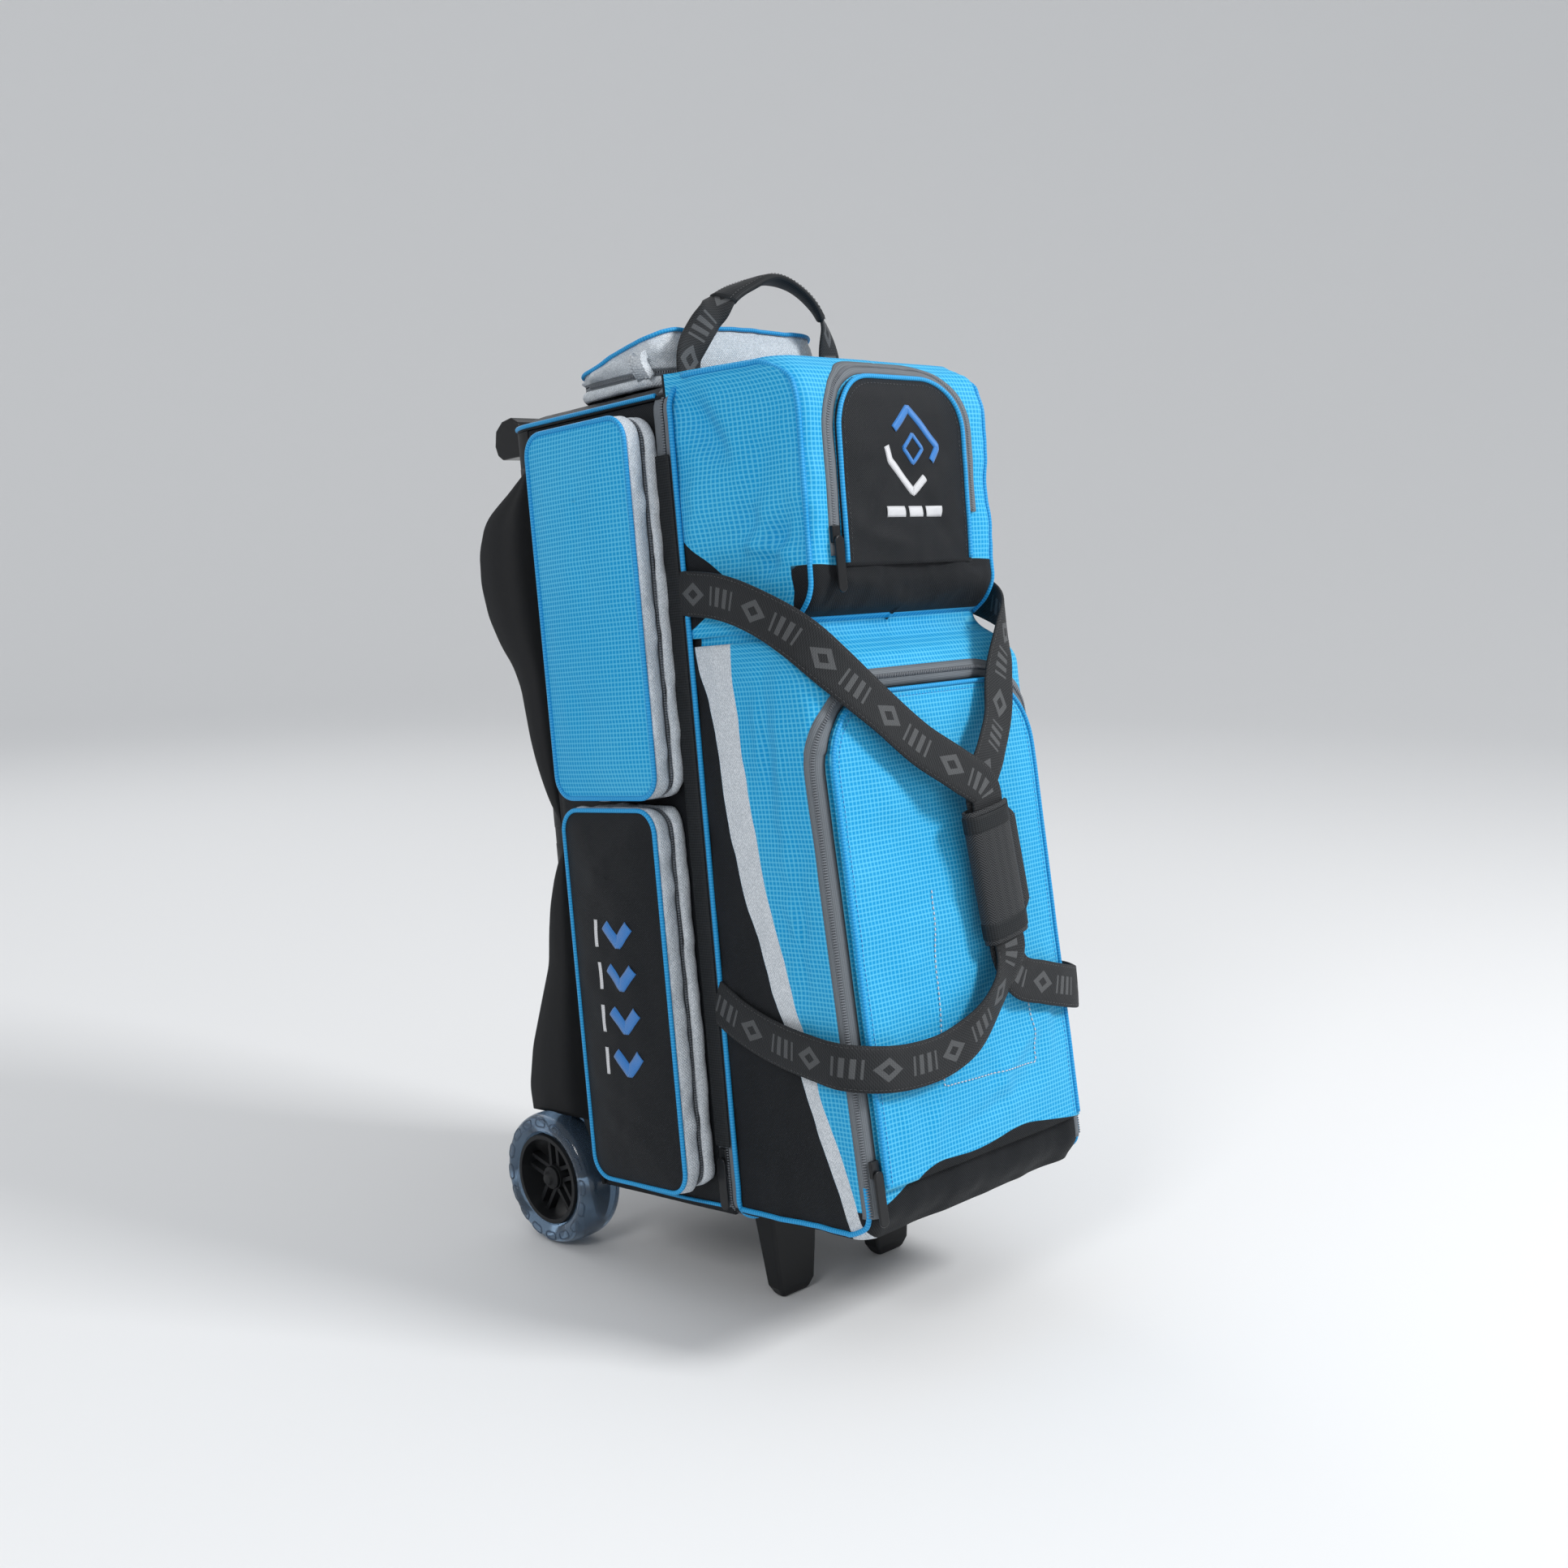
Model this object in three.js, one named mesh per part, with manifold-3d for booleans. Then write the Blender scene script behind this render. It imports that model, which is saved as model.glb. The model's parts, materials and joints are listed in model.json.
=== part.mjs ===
// A three-ball rolling bowling bag, in millimetres.
// Every piece is drawn in the bag's own frame: x across, y towards the back, z up along the body,
// with zero at the bottom edge of the front seam. The whole bag then leans back on its feet and wheels.

import * as THREE from "three";
import { mergeVertices } from "three/addons/utils/BufferGeometryUtils.js";
import Module from "manifold-3d";

const wasm = await Module();
wasm.setup();

// ---- driving sizes ----

const gap = 0.3; // left between pieces that rest on each other
const leanDegrees = 6.7;
const groundBelowSeam = 94.3; // from the seam's bottom edge straight down to the ground

// ball compartment
const bodyHalfWidth = 138;
const bodyHeight = 700;
const wall = 4;
const seamY = -8;
const shellBackY = 226;
const shellCornerRadius = 45;
const topCrown = 16;
const trayThickness = 8;

// balls
const ballRadius = 108;
const cupHoleRadius = 60;
const cupHeight = 22;
const shelfThickness = 12;
const ballClearance = 2;

// wheels
const wheelRadius = 63.5;
const wheelWidth = 46;
const wheelOuterX = 154;
const rimRadius = 44;
const rimWall = 5;
const hubRadius = 12;
const axleRadius = 5;
const axleY = shellBackY + 18;
const axleZ = -2.3;
const runningGap = 0.15;
const tyreGap = 4.5; // tyre to wheel arch
const cheekThickness = 4;
const archRadius = wheelRadius + tyreGap;
const bracketWidth = 16;
const bracketTopZ = axleZ + archRadius - 1.7;

// kick skids down the back corners
const skidInset = 0.3; // from the side panels' outer faces

// telescoping handle
const tubeX = 82;
const outerTube = { width: 24, depth: 15, wall: 1.4 };
const slidingGap = 0.5;
const middleTubeWall = 1.3;
const innerTubeWall = 1.4;
const tubeBottomZ = 120;
const tubeStep = 12; // each inner tube starts and ends this much higher
const tubeTopZ = bodyHeight - 60;
const coverHalfWidth = 98;
const coverWall = 2.5;
const coverChamfer = 4;
const coverBottomZ = bracketTopZ + 6;
const coverTopZ = tubeTopZ - 10;
const gripHalfWidth = 110;
const gripDepth = 42;
const gripHeight = 38;
const gripBottomZ = bodyHeight - 16;
const button = { length: 34, depth: 14, height: 8, proud: 2.5, travel: 4, clearance: 0.5 };

// feet
const footX = 64;
const footTopWidth = 62;
const footSoleWidth = 40;
const footDepth = 26;

// side pockets
const pocketProud = 37;
const pocketFace = 3;
const pocketWall = 2.5;
const pocketCorner = 20;
const zipLine = 0.5; // where the zip splits the gusset, as a share of its depth
const sidePockets = [
  { name: "upper", front: 4, back: shellBackY - 88, bottom: 368, top: bodyHeight - 12 },
  { name: "lower", front: 11, back: shellBackY - 91, bottom: 24, top: 358 },
];

// top pocket and loop handle
const topPocket = {
  left: 26 - bodyHalfWidth, right: bodyHalfWidth - 46, front: 26, back: shellBackY - 84,
  trayHeight: 14, lidFront: 40, lidBack: 17,
};
const webbing = { width: 38, thickness: 2.4 };
const loop = { leftX: 46 - bodyHalfWidth, rightX: bodyHalfWidth - 54, y: 8, peak: 100, width: 26, thickness: 3 };

// front compartments, which make up the door
const fabric = 3;
const upperBox = { bottom: 499, top: bodyHeight + 20, front: -144, frontHalfWidth: bodyHalfWidth - 20, corner: 14 };
const lowerBox = {
  bottom: 4, top: upperBox.bottom - 7, shoulder: 462, frontLow: -177, frontHigh: -148,
  halfWidth: bodyHalfWidth + 4, corner: 16,
};
const upperFlap = { halfWidth: upperBox.frontHalfWidth - 38, bottom: 547, top: upperBox.top - 16, corner: 48, thickness: 3 };
const lowerFlap = { halfWidth: lowerBox.halfWidth - 12, bottom: 46, top: lowerBox.shoulder - 16, corner: 64, thickness: 3 };
const flapOverlap = 10; // how far a flap covers the wall round its opening

// grip wrap round the two carry straps
const wrap = {
  top: 348, bottom: 218, topX: 15, bottomX: 33, y: lowerBox.frontLow - 16, width: webbing.width + 12, depth: 16,
  wall: 2, tail: 15,
};

// zip sliders and pulls
const slider = { length: 14, width: 9, height: 4 };
const pull = { length: 46, width: 10, thickness: 2.4, clearance: 0.6 };

// ---- materials ----

const colours = {
  blueCheck: [0x2f9fd6, 0.75, 0],
  blackFabric: [0x0e1013, 0.85, 0],
  silverFabric: [0xb4b6b8, 0.55, 0.1],
  webbing: [0x232426, 0.9, 0],
  blackPlastic: [0x0c0d0f, 0.5, 0],
  glossPlastic: [0x0a0b0d, 0.25, 0],
  tyre: [0x4f6a8a, 0.2, 0],
  aluminium: [0xa7abb0, 0.35, 0.9],
  steel: [0x6a6d70, 0.35, 0.9],
  foam: [0x2a2c30, 0.95, 0],
  zipMetal: [0x17181a, 0.35, 0.7],
};

function material(key) {
  const [color, roughness, metalness] = colours[key];
  return new THREE.MeshStandardMaterial({ color, roughness, metalness });
}

// ---- geometry helpers ----

function toSolid(geometry) {
  const bare = geometry.clone();
  bare.deleteAttribute("normal");
  bare.deleteAttribute("uv");
  const merged = mergeVertices(bare, 1e-4);
  return new wasm.Manifold(
    new wasm.Mesh({
      numProp: 3,
      vertProperties: new Float32Array(merged.attributes.position.array),
      triVerts: new Uint32Array(merged.index.array),
    })
  );
}

function toGeometry(solid) {
  const mesh = solid.getMesh();
  const geometry = new THREE.BufferGeometry();
  geometry.setAttribute("position", new THREE.BufferAttribute(new Float32Array(mesh.vertProperties), 3));
  geometry.setIndex(new THREE.BufferAttribute(new Uint32Array(mesh.triVerts), 1));
  geometry.computeVertexNormals();
  return geometry;
}

function cut(geometry, ...tools) {
  return toGeometry(tools.reduce((solid, tool) => solid.subtract(toSolid(tool)), toSolid(geometry)));
}

function join(...geometries) {
  return toGeometry(geometries.map(toSolid).reduce((whole, part) => whole.add(part)));
}

function box(x0, x1, y0, y1, z0, z1) {
  const geometry = new THREE.BoxGeometry(Math.abs(x1 - x0), Math.abs(y1 - y0), Math.abs(z1 - z0));
  return geometry.translate((x0 + x1) / 2, (y0 + y1) / 2, (z0 + z1) / 2);
}

function cylinderX(radius, x0, x1, y, z, segments = 32) {
  const geometry = new THREE.CylinderGeometry(radius, radius, Math.abs(x1 - x0), segments);
  return geometry.rotateZ(Math.PI / 2).translate((x0 + x1) / 2, y, z);
}

function cylinderZ(radius, z0, z1, x, y, segments = 32) {
  const geometry = new THREE.CylinderGeometry(radius, radius, z1 - z0, segments);
  return geometry.rotateX(Math.PI / 2).translate(x, y, (z0 + z1) / 2);
}

function roundedRectangle(u0, u1, v0, v1, radius, Kind = THREE.Shape) {
  const shape = new Kind();
  const r = Math.min(radius, (u1 - u0) / 2, (v1 - v0) / 2);
  shape.moveTo(u0 + r, v0);
  shape.lineTo(u1 - r, v0);
  shape.absarc(u1 - r, v0 + r, r, -Math.PI / 2, 0, false);
  shape.lineTo(u1, v1 - r);
  shape.absarc(u1 - r, v1 - r, r, 0, Math.PI / 2, false);
  shape.lineTo(u0 + r, v1);
  shape.absarc(u0 + r, v1 - r, r, Math.PI / 2, Math.PI, false);
  shape.lineTo(u0, v0 + r);
  shape.absarc(u0 + r, v0 + r, r, Math.PI, 1.5 * Math.PI, false);
  return shape;
}

// A panel with square lower corners and round upper ones, in x and z.
function archShape({ halfWidth, bottom, top, corner }) {
  const shape = new THREE.Shape();
  shape.moveTo(-halfWidth, bottom);
  shape.lineTo(halfWidth, bottom);
  shape.lineTo(halfWidth, top - corner);
  shape.absarc(halfWidth - corner, top - corner, corner, 0, Math.PI / 2, false);
  shape.lineTo(-halfWidth + corner, top);
  shape.absarc(-halfWidth + corner, top - corner, corner, Math.PI / 2, Math.PI, false);
  return shape;
}

function shapeFrom(points) {
  return new THREE.Shape(points.map(([u, v]) => new THREE.Vector2(u, v)));
}

// Extrusions of a shape drawn in (y, z), (x, z) and (x, y).
function extrudeX(shape, x0, x1, curveSegments = 4) {
  const geometry = new THREE.ExtrudeGeometry(shape, { depth: x1 - x0, bevelEnabled: false, curveSegments });
  geometry.applyMatrix4(new THREE.Matrix4().set(0, 0, 1, x0, 1, 0, 0, 0, 0, 1, 0, 0, 0, 0, 0, 1));
  return geometry;
}

function extrudeY(shape, y0, y1, curveSegments = 4) {
  const geometry = new THREE.ExtrudeGeometry(shape, { depth: y1 - y0, bevelEnabled: false, curveSegments });
  return geometry.rotateX(Math.PI / 2).translate(0, y1, 0);
}

function extrudeZ(shape, z0, z1, curveSegments = 4) {
  const geometry = new THREE.ExtrudeGeometry(shape, { depth: z1 - z0, bevelEnabled: false, curveSegments });
  return geometry.translate(0, 0, z0);
}

// A closed body through a row of outlines with the same number of points.
function loft(outlines, cap) {
  const count = outlines[0].length;
  const positions = outlines.flat().flatMap((p) => [p.x, p.y, p.z]);
  const triangles = [];
  for (let row = 0; row + 1 < outlines.length; row++) {
    for (let i = 0; i < count; i++) {
      const j = (i + 1) % count;
      const [a, b] = [row * count + i, row * count + j];
      const [c, d] = [a + count, b + count];
      triangles.push(a, b, d, a, d, c);
    }
  }
  const last = (outlines.length - 1) * count;
  const clockwise = THREE.ShapeUtils.area(cap) < 0;
  for (const face of THREE.ShapeUtils.triangulateShape(cap, [])) {
    const [a, b, c] = clockwise ? [...face].reverse() : face;
    triangles.push(c, b, a, last + a, last + b, last + c);
  }
  const geometry = new THREE.BufferGeometry();
  geometry.setAttribute("position", new THREE.Float32BufferAttribute(positions, 3));
  geometry.setIndex(triangles);
  if (signedVolume(geometry) < 0) {
    const index = geometry.index.array;
    for (let i = 0; i < index.length; i += 3) [index[i], index[i + 2]] = [index[i + 2], index[i]];
  }
  geometry.computeVertexNormals();
  return geometry;
}

function signedVolume(geometry) {
  const position = geometry.attributes.position;
  const index = geometry.index.array;
  const [a, b, c] = [new THREE.Vector3(), new THREE.Vector3(), new THREE.Vector3()];
  let volume = 0;
  for (let i = 0; i < index.length; i += 3) {
    a.fromBufferAttribute(position, index[i]);
    b.fromBufferAttribute(position, index[i + 1]);
    c.fromBufferAttribute(position, index[i + 2]);
    volume += a.dot(b.cross(c)) / 6;
  }
  return volume;
}

// A strip swept along a route. Each stop is a point and the direction its face looks.
function strip(stops, profile, steps) {
  const curve = new THREE.CatmullRomCurve3(stops.map(([point]) => new THREE.Vector3(...point)), false, "centripetal");
  const faces = new THREE.CatmullRomCurve3(stops.map(([, face]) => new THREE.Vector3(...face)), false, "catmullrom");
  const outlines = [];
  for (let i = 0; i <= steps; i++) {
    const t = i / steps;
    const tangent = curve.getTangent(t);
    const across = faces.getPoint(t).cross(tangent).normalize();
    const out = tangent.clone().cross(across).normalize();
    const centre = curve.getPoint(t);
    outlines.push(
      profile.map(([u, v]) => centre.clone().addScaledVector(across, u).addScaledVector(out, v))
    );
  }
  return loft(outlines, profile.map(([u, v]) => new THREE.Vector2(u, v)));
}

function flatProfile(width, thickness) {
  const [w, t] = [width / 2, thickness / 2];
  return [[-w, -t], [w, -t], [w, t], [-w, t]];
}

const bag = new THREE.Group();

function add(name, colour, geometry) {
  const mesh = new THREE.Mesh(geometry, material(colour));
  mesh.name = name;
  bag.add(mesh);
  return mesh;
}

const sides = [
  { name: "left", sign: -1 },
  { name: "right", sign: 1 },
];

// Mirrors a piece drawn on the +x side onto the side asked for.
function onSide(geometry, sign) {
  if (sign > 0) return geometry;
  const mirrored = mergeVertices(geometry.clone().scale(-1, 1, 1).deleteAttribute("normal"), 1e-4);
  const index = mirrored.index.array;
  for (let i = 0; i < index.length; i += 3) [index[i], index[i + 2]] = [index[i + 2], index[i]];
  mirrored.computeVertexNormals();
  return mirrored;
}

// ---- ball compartment ----

const wellInnerX = wheelOuterX - wheelWidth - tyreGap - cheekThickness;
const wheelArch = (extra = 0) => cylinderX(archRadius + extra, wellInnerX - extra, 200, axleY, axleZ, 64);
const shellFrontY = shellBackY - shellCornerRadius;

// Half of the compartment's plan outline at the back, from the side round to the middle.
function backOutline(offset) {
  const radius = shellCornerRadius + offset;
  const centre = [bodyHalfWidth - shellCornerRadius, shellFrontY];
  const points = [];
  for (let i = 0; i <= 8; i++) {
    const angle = (i / 8) * (Math.PI / 2);
    points.push([centre[0] + radius * Math.cos(angle), centre[1] + radius * Math.sin(angle)]);
  }
  return points;
}

function fullBackOutline(offset) {
  const right = backOutline(offset);
  return [...right, ...right.map(([x, y]) => [-x, y]).reverse()];
}

function makeBody() {
  const tray = shapeFrom([
    [-bodyHalfWidth + wall + gap, seamY],
    [bodyHalfWidth - wall - gap, seamY],
    ...backOutline(-wall - gap),
    ...backOutline(-wall - gap).map(([x, y]) => [-x, y]).reverse(),
  ]);
  const archTools = sides.map(({ sign }) => onSide(toGeometry(toSolid(wheelArch(cheekThickness))), sign));
  add("base_tray", "blackPlastic", cut(extrudeZ(tray, 0, trayThickness), ...archTools));

  const shellPlan = shapeFrom([...fullBackOutline(0), ...fullBackOutline(-wall).reverse()]);
  add("back_shell", "blackPlastic", cut(extrudeZ(shellPlan, 0, bodyHeight), ...archTools));

  const sidePanel = box(bodyHalfWidth - wall, bodyHalfWidth, seamY, shellFrontY - gap, 0, bodyHeight);
  for (const { name, sign } of sides) {
    add(`side_panel_${name}`, "blackFabric", onSide(cut(sidePanel, wheelArch(cheekThickness)), sign));
  }

  const top = bodyHeight + gap;
  const crown = shapeFrom([
    [-bodyHalfWidth, top],
    [bodyHalfWidth, top],
    [bodyHalfWidth, top + 4],
    [bodyHalfWidth - 30, top + topCrown],
    [-bodyHalfWidth + 30, top + topCrown],
    [-bodyHalfWidth, top + 4],
  ]);
  const roundBack = extrudeZ(
    shapeFrom([[-bodyHalfWidth, seamY], [bodyHalfWidth, seamY], ...fullBackOutline(0)]),
    top - 1,
    top + topCrown + 1
  );
  const crownSolid = toSolid(extrudeY(crown, seamY, shellBackY));
  add("top_panel", "blackFabric", toGeometry(crownSolid.intersect(toSolid(roundBack))));

  const arch = cut(
    cylinderX(archRadius + cheekThickness - gap, wellInnerX, bodyHalfWidth, axleY, axleZ, 64),
    cylinderX(archRadius, wellInnerX + cheekThickness, 200, axleY, axleZ, 64),
    box(0, 300, 0, 400, -200, 0),
    extrudeZ(
      shapeFrom([...backOutline(-wall - gap), [0, shellBackY - wall - gap], [0, 500], [500, 500], [500, shellFrontY]]),
      -1,
      300
    )
  );
  const bracketX = wellInnerX - gap;
  for (const { name, sign } of sides) {
    add(`wheel_well_${name}`, "blackPlastic", onSide(arch, sign));
    const bracket = cut(
      box(bracketX - bracketWidth, bracketX, shellBackY + gap, axleY + 16, axleZ - 16, bracketTopZ),
      cylinderX(axleRadius + runningGap, 0, 200, axleY, axleZ)
    );
    add(`axle_bracket_${name}`, "blackPlastic", onSide(bracket, sign));
  }
}

function makeSkids() {
  // Points are behind the back shell's face; the fender ends just above the wheel.
  const outline = (points) => shapeFrom(points.map(([behind, z]) => [shellBackY + behind, z]));
  const kickTopZ = tubeTopZ;
  const kick = outline([
    [-46, kickTopZ], [0, kickTopZ], [22, kickTopZ - 5], [37, kickTopZ - 16], [50, kickTopZ - 42],
    [52, kickTopZ - 72], [45, kickTopZ - 103], [30, kickTopZ - 131], [14, kickTopZ - 151],
    [5, kickTopZ - 172], [1, kickTopZ - 200], [-46, kickTopZ - 200],
  ]);
  const fenderEndZ = bracketTopZ - 4;
  const fender = outline([
    [-46, 236], [0, 236], [3, 205], [18, 173], [41, 123], [52, fenderEndZ + 22], [50, fenderEndZ], [-46, fenderEndZ],
  ]);
  const bodyPlan = [[-200, -100], [200, -100], [200, shellFrontY - 6], ...fullBackOutline(gap), [-200, shellFrontY - 6]];
  const body = extrudeZ(shapeFrom(bodyPlan), -100, bodyHeight + 100);
  for (const { name, sign } of sides) {
    const trim = (shape) => onSide(cut(extrudeX(shape, wellInnerX, bodyHalfWidth - skidInset), body, wheelArch()), sign);
    add(`kick_skid_${name}`, "blackPlastic", trim(kick));
    add(`wheel_fender_${name}`, "blackPlastic", trim(fender));
  }
}

function makeBallCups() {
  const halfWidth = bodyHalfWidth - wall - gap;
  const back = shellBackY - wall - gap;
  const ballY = seamY + ballClearance + ballRadius;
  const rise = ballRadius - Math.sqrt(ballRadius ** 2 - cupHoleRadius ** 2);
  const levels = [trayThickness + gap];
  for (let i = 1; i < 3; i++) {
    const rim = levels[i - 1] + (i === 1 ? cupHeight : shelfThickness);
    const ballTop = rim - rise + 2 * ballRadius;
    levels.push(ballTop + ballClearance + rise - shelfThickness);
  }
  const names = ["ball_cup_lower", "ball_shelf_middle", "ball_shelf_upper"];
  const footprint = shapeFrom([
    [-halfWidth, seamY + ballClearance],
    [halfWidth, seamY + ballClearance],
    ...fullBackOutline(-wall - gap).filter(([, y]) => y < back + gap),
  ]);
  levels.forEach((level, i) => {
    const height = i === 0 ? cupHeight : shelfThickness;
    const plate = extrudeZ(footprint, level, level + height);
    const tools = [cylinderZ(cupHoleRadius, level - 1, level + height + 1, 0, ballY, 32)];
    if (i === 0) {
      tools.push(...sides.map(({ sign }) => onSide(toGeometry(toSolid(wheelArch(cheekThickness + gap))), sign)));
    }
    add(names[i], "foam", cut(plate, ...tools));
  });
  return levels;
}

// ---- feet and wheels ----

function makeFeet() {
  const lean = THREE.MathUtils.degToRad(leanDegrees);
  const soleAt = (y) => (-groundBelowSeam + y * Math.sin(lean)) / Math.cos(lean);
  const [front, back] = [-6, -6 + footDepth];
  const [soleFront, soleBack] = [front + 5, back - 3];
  const topZ = -gap;
  for (const { name, sign } of sides) {
    const corners = (halfWidth, y0, y1, z0, z1) => [
      new THREE.Vector3(sign * footX - halfWidth, y0, z0),
      new THREE.Vector3(sign * footX + halfWidth, y0, z0),
      new THREE.Vector3(sign * footX + halfWidth, y1, z1),
      new THREE.Vector3(sign * footX - halfWidth, y1, z1),
    ];
    const outlines = [
      corners(footTopWidth / 2, front, back, topZ, topZ),
      corners(footSoleWidth / 2 + 2, soleFront, soleBack, soleAt(soleFront) + 10, soleAt(soleBack) + 10),
      corners(footSoleWidth / 2 - 4, soleFront + 3, soleBack - 3, soleAt(soleFront + 3), soleAt(soleBack - 3)),
    ];
    const cap = [[0, 0], [1, 0], [1, 1], [0, 1]].map(([u, v]) => new THREE.Vector2(u, v));
    add(`foot_${name}`, "blackPlastic", loft(outlines, cap));
  }
}

// A ring of revolution about the axle, from (radius, x) points, on the +x side.
function ring(points, segments = 40) {
  const profile = points.map(([radius, x]) => new THREE.Vector2(radius, x));
  if (points[0][0] > 0) profile.push(profile[0].clone());
  return new THREE.LatheGeometry(profile, segments).rotateZ(-Math.PI / 2).translate(0, axleY, axleZ);
}

function makeWheels() {
  const [inner, outer] = [wheelOuterX - wheelWidth, wheelOuterX];
  const bore = axleRadius + runningGap;
  const bead = rimRadius + gap;
  const tyre = ring([
    [bead, inner + 4], [wheelRadius - 8, inner], [wheelRadius - 2, inner + 6], [wheelRadius, inner + 14],
    [wheelRadius, outer - 14], [wheelRadius - 2, outer - 6], [wheelRadius - 8, outer], [bead, outer - 4],
  ]);
  const rim = ring([
    [rimRadius - rimWall, inner + 8], [rimRadius, inner + 8], [rimRadius, outer - 6], [rimRadius - 1, outer - 2],
    [rimRadius - rimWall, outer - 2],
  ]);
  const boss = ring([[bore, inner + 4], [hubRadius, inner + 4], [hubRadius, outer - 10], [bore, outer - 10]]);
  const spokes = [];
  const spokePairs = 5;
  for (let i = 0; i < spokePairs; i++) {
    for (const offset of [-5.5, 5.5]) {
      const spoke = box(outer - 22, outer - 13, offset - 2, offset + 2, hubRadius - 5, rimRadius - 2);
      spokes.push(spoke.rotateX((i / spokePairs) * 2 * Math.PI).translate(0, axleY, axleZ));
    }
  }
  const hub = cut(
    join(rim, boss, ...spokes),
    cylinderX(bore, inner - 5, outer + 5, axleY, axleZ)
  );
  const capBack = outer - 10 + gap;
  const cap = ring([
    [0, capBack + 3], [axleRadius + 1.5, capBack + 3], [axleRadius + 1.5, capBack], [11, capBack], [11, outer - 7],
    [6.5, outer - 5], [5, outer - 2], [0, outer - 2],
  ], 20);
  for (const { name, sign } of sides) {
    add(`tyre_${name}`, "tyre", onSide(tyre, sign));
    add(`wheel_hub_${name}`, "blackPlastic", onSide(hub, sign));
    add(`hub_cap_${name}`, "blackPlastic", onSide(cap, sign));
  }
  add("axle", "steel", cylinderX(axleRadius, -capBack + gap, capBack - gap, axleY, axleZ));
}

// ---- telescoping handle ----

function rectangularTube({ width, depth, thickness }, x, y, z0, z1) {
  const shape = shapeFrom([
    [x - width / 2, y - depth / 2], [x + width / 2, y - depth / 2],
    [x + width / 2, y + depth / 2], [x - width / 2, y + depth / 2],
  ]);
  const hole = new THREE.Path();
  const [w, d] = [width / 2 - thickness, depth / 2 - thickness];
  hole.moveTo(x - w, y - d);
  hole.lineTo(x - w, y + d);
  hole.lineTo(x + w, y + d);
  hole.lineTo(x + w, y - d);
  hole.closePath();
  shape.holes.push(hole);
  return extrudeZ(shape, z0, z1);
}

function makeHandle() {
  const tubeY = shellBackY + 2 * gap + 2 + outerTube.depth / 2;
  const middle = {
    width: outerTube.width - 2 * (outerTube.wall + slidingGap),
    depth: outerTube.depth - 2 * (outerTube.wall + slidingGap),
    thickness: middleTubeWall,
  };
  const inner = {
    width: middle.width - 2 * (middleTubeWall + slidingGap),
    depth: middle.depth - 2 * (middleTubeWall + slidingGap),
    thickness: innerTubeWall,
  };
  const outer = { width: outerTube.width, depth: outerTube.depth, thickness: outerTube.wall };
  for (const { name, sign } of sides) {
    const x = sign * tubeX;
    add(`outer_tube_${name}`, "aluminium", rectangularTube(outer, x, tubeY, tubeBottomZ, tubeTopZ));
    add(`middle_tube_${name}`, "aluminium",
      rectangularTube(middle, x, tubeY, tubeBottomZ + tubeStep, tubeTopZ + tubeStep));
    add(`inner_tube_${name}`, "aluminium",
      rectangularTube(inner, x, tubeY, tubeBottomZ + 2 * tubeStep, gripBottomZ - gap));
  }

  const coverBack = tubeY + outerTube.depth / 2 + gap + coverWall;
  const coverFront = shellBackY + gap;
  const w = coverHalfWidth - coverWall;
  const cover = shapeFrom([
    [-coverHalfWidth, coverFront], [-w, coverFront], [-w, coverBack - coverWall], [w, coverBack - coverWall],
    [w, coverFront], [coverHalfWidth, coverFront],
    [coverHalfWidth, coverBack - coverChamfer], [coverHalfWidth - coverChamfer, coverBack],
    [-coverHalfWidth + coverChamfer, coverBack], [-coverHalfWidth, coverBack - coverChamfer],
  ]);
  add("handle_cover", "blackPlastic", extrudeZ(cover, coverBottomZ, coverTopZ));

  const gripFront = shellBackY + 2.5;
  const gripTop = gripBottomZ + gripHeight;
  const gripProfile = shapeFrom([
    [gripFront, gripBottomZ], [gripFront + gripDepth - 10, gripBottomZ], [gripFront + gripDepth - 3, gripBottomZ + 5],
    [gripFront + gripDepth, gripBottomZ + 14], [gripFront + gripDepth - 3, gripTop - 10],
    [gripFront + gripDepth - 14, gripTop - 2], [gripFront + 14, gripTop], [gripFront + 3, gripTop - 6],
    [gripFront, gripTop - 16],
  ]);
  const buttonY = gripFront + gripDepth / 2 - 2;
  const buttonTop = gripTop + button.proud;
  const buttonBottom = buttonTop - button.height;
  const pocket = box(
    -button.length / 2 - button.clearance, button.length / 2 + button.clearance,
    buttonY - button.depth / 2 - button.clearance, buttonY + button.depth / 2 + button.clearance,
    buttonBottom - button.travel - button.clearance, gripTop + 5
  );
  add("handle_grip", "glossPlastic", cut(extrudeX(gripProfile, -gripHalfWidth, gripHalfWidth), pocket));
  add("release_button", "glossPlastic",
    extrudeZ(
      roundedRectangle(-button.length / 2, button.length / 2, buttonY - button.depth / 2,
        buttonY + button.depth / 2, 5),
      buttonBottom, buttonTop
    ));
}

// ---- pockets ----

function makeSidePockets() {
  const base = bodyHalfWidth + gap;
  const face = base + pocketProud;
  const split = base + (pocketProud - pocketFace) * zipLine;
  for (const pocket of sidePockets) {
    const outline = (inset, Kind) =>
      roundedRectangle(pocket.front + inset, pocket.back - inset, pocket.bottom + inset, pocket.top - inset,
        pocketCorner - inset, Kind);
    const gusset = outline(0);
    gusset.holes.push(outline(pocketWall, THREE.Path));
    const tray = extrudeX(gusset, base, split);
    const lid = cut(extrudeX(outline(0), split + gap, face), extrudeX(outline(pocketWall), split - 1, face - pocketFace));
    for (const { name, sign } of sides) {
      add(`${pocket.name}_pocket_${name}`, "silverFabric", onSide(toGeometry(toSolid(tray)), sign));
      add(`${pocket.name}_pocket_lid_${name}`, pocket.name === "upper" ? "blueCheck" : "blackFabric", onSide(lid, sign));
    }
  }
}

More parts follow.
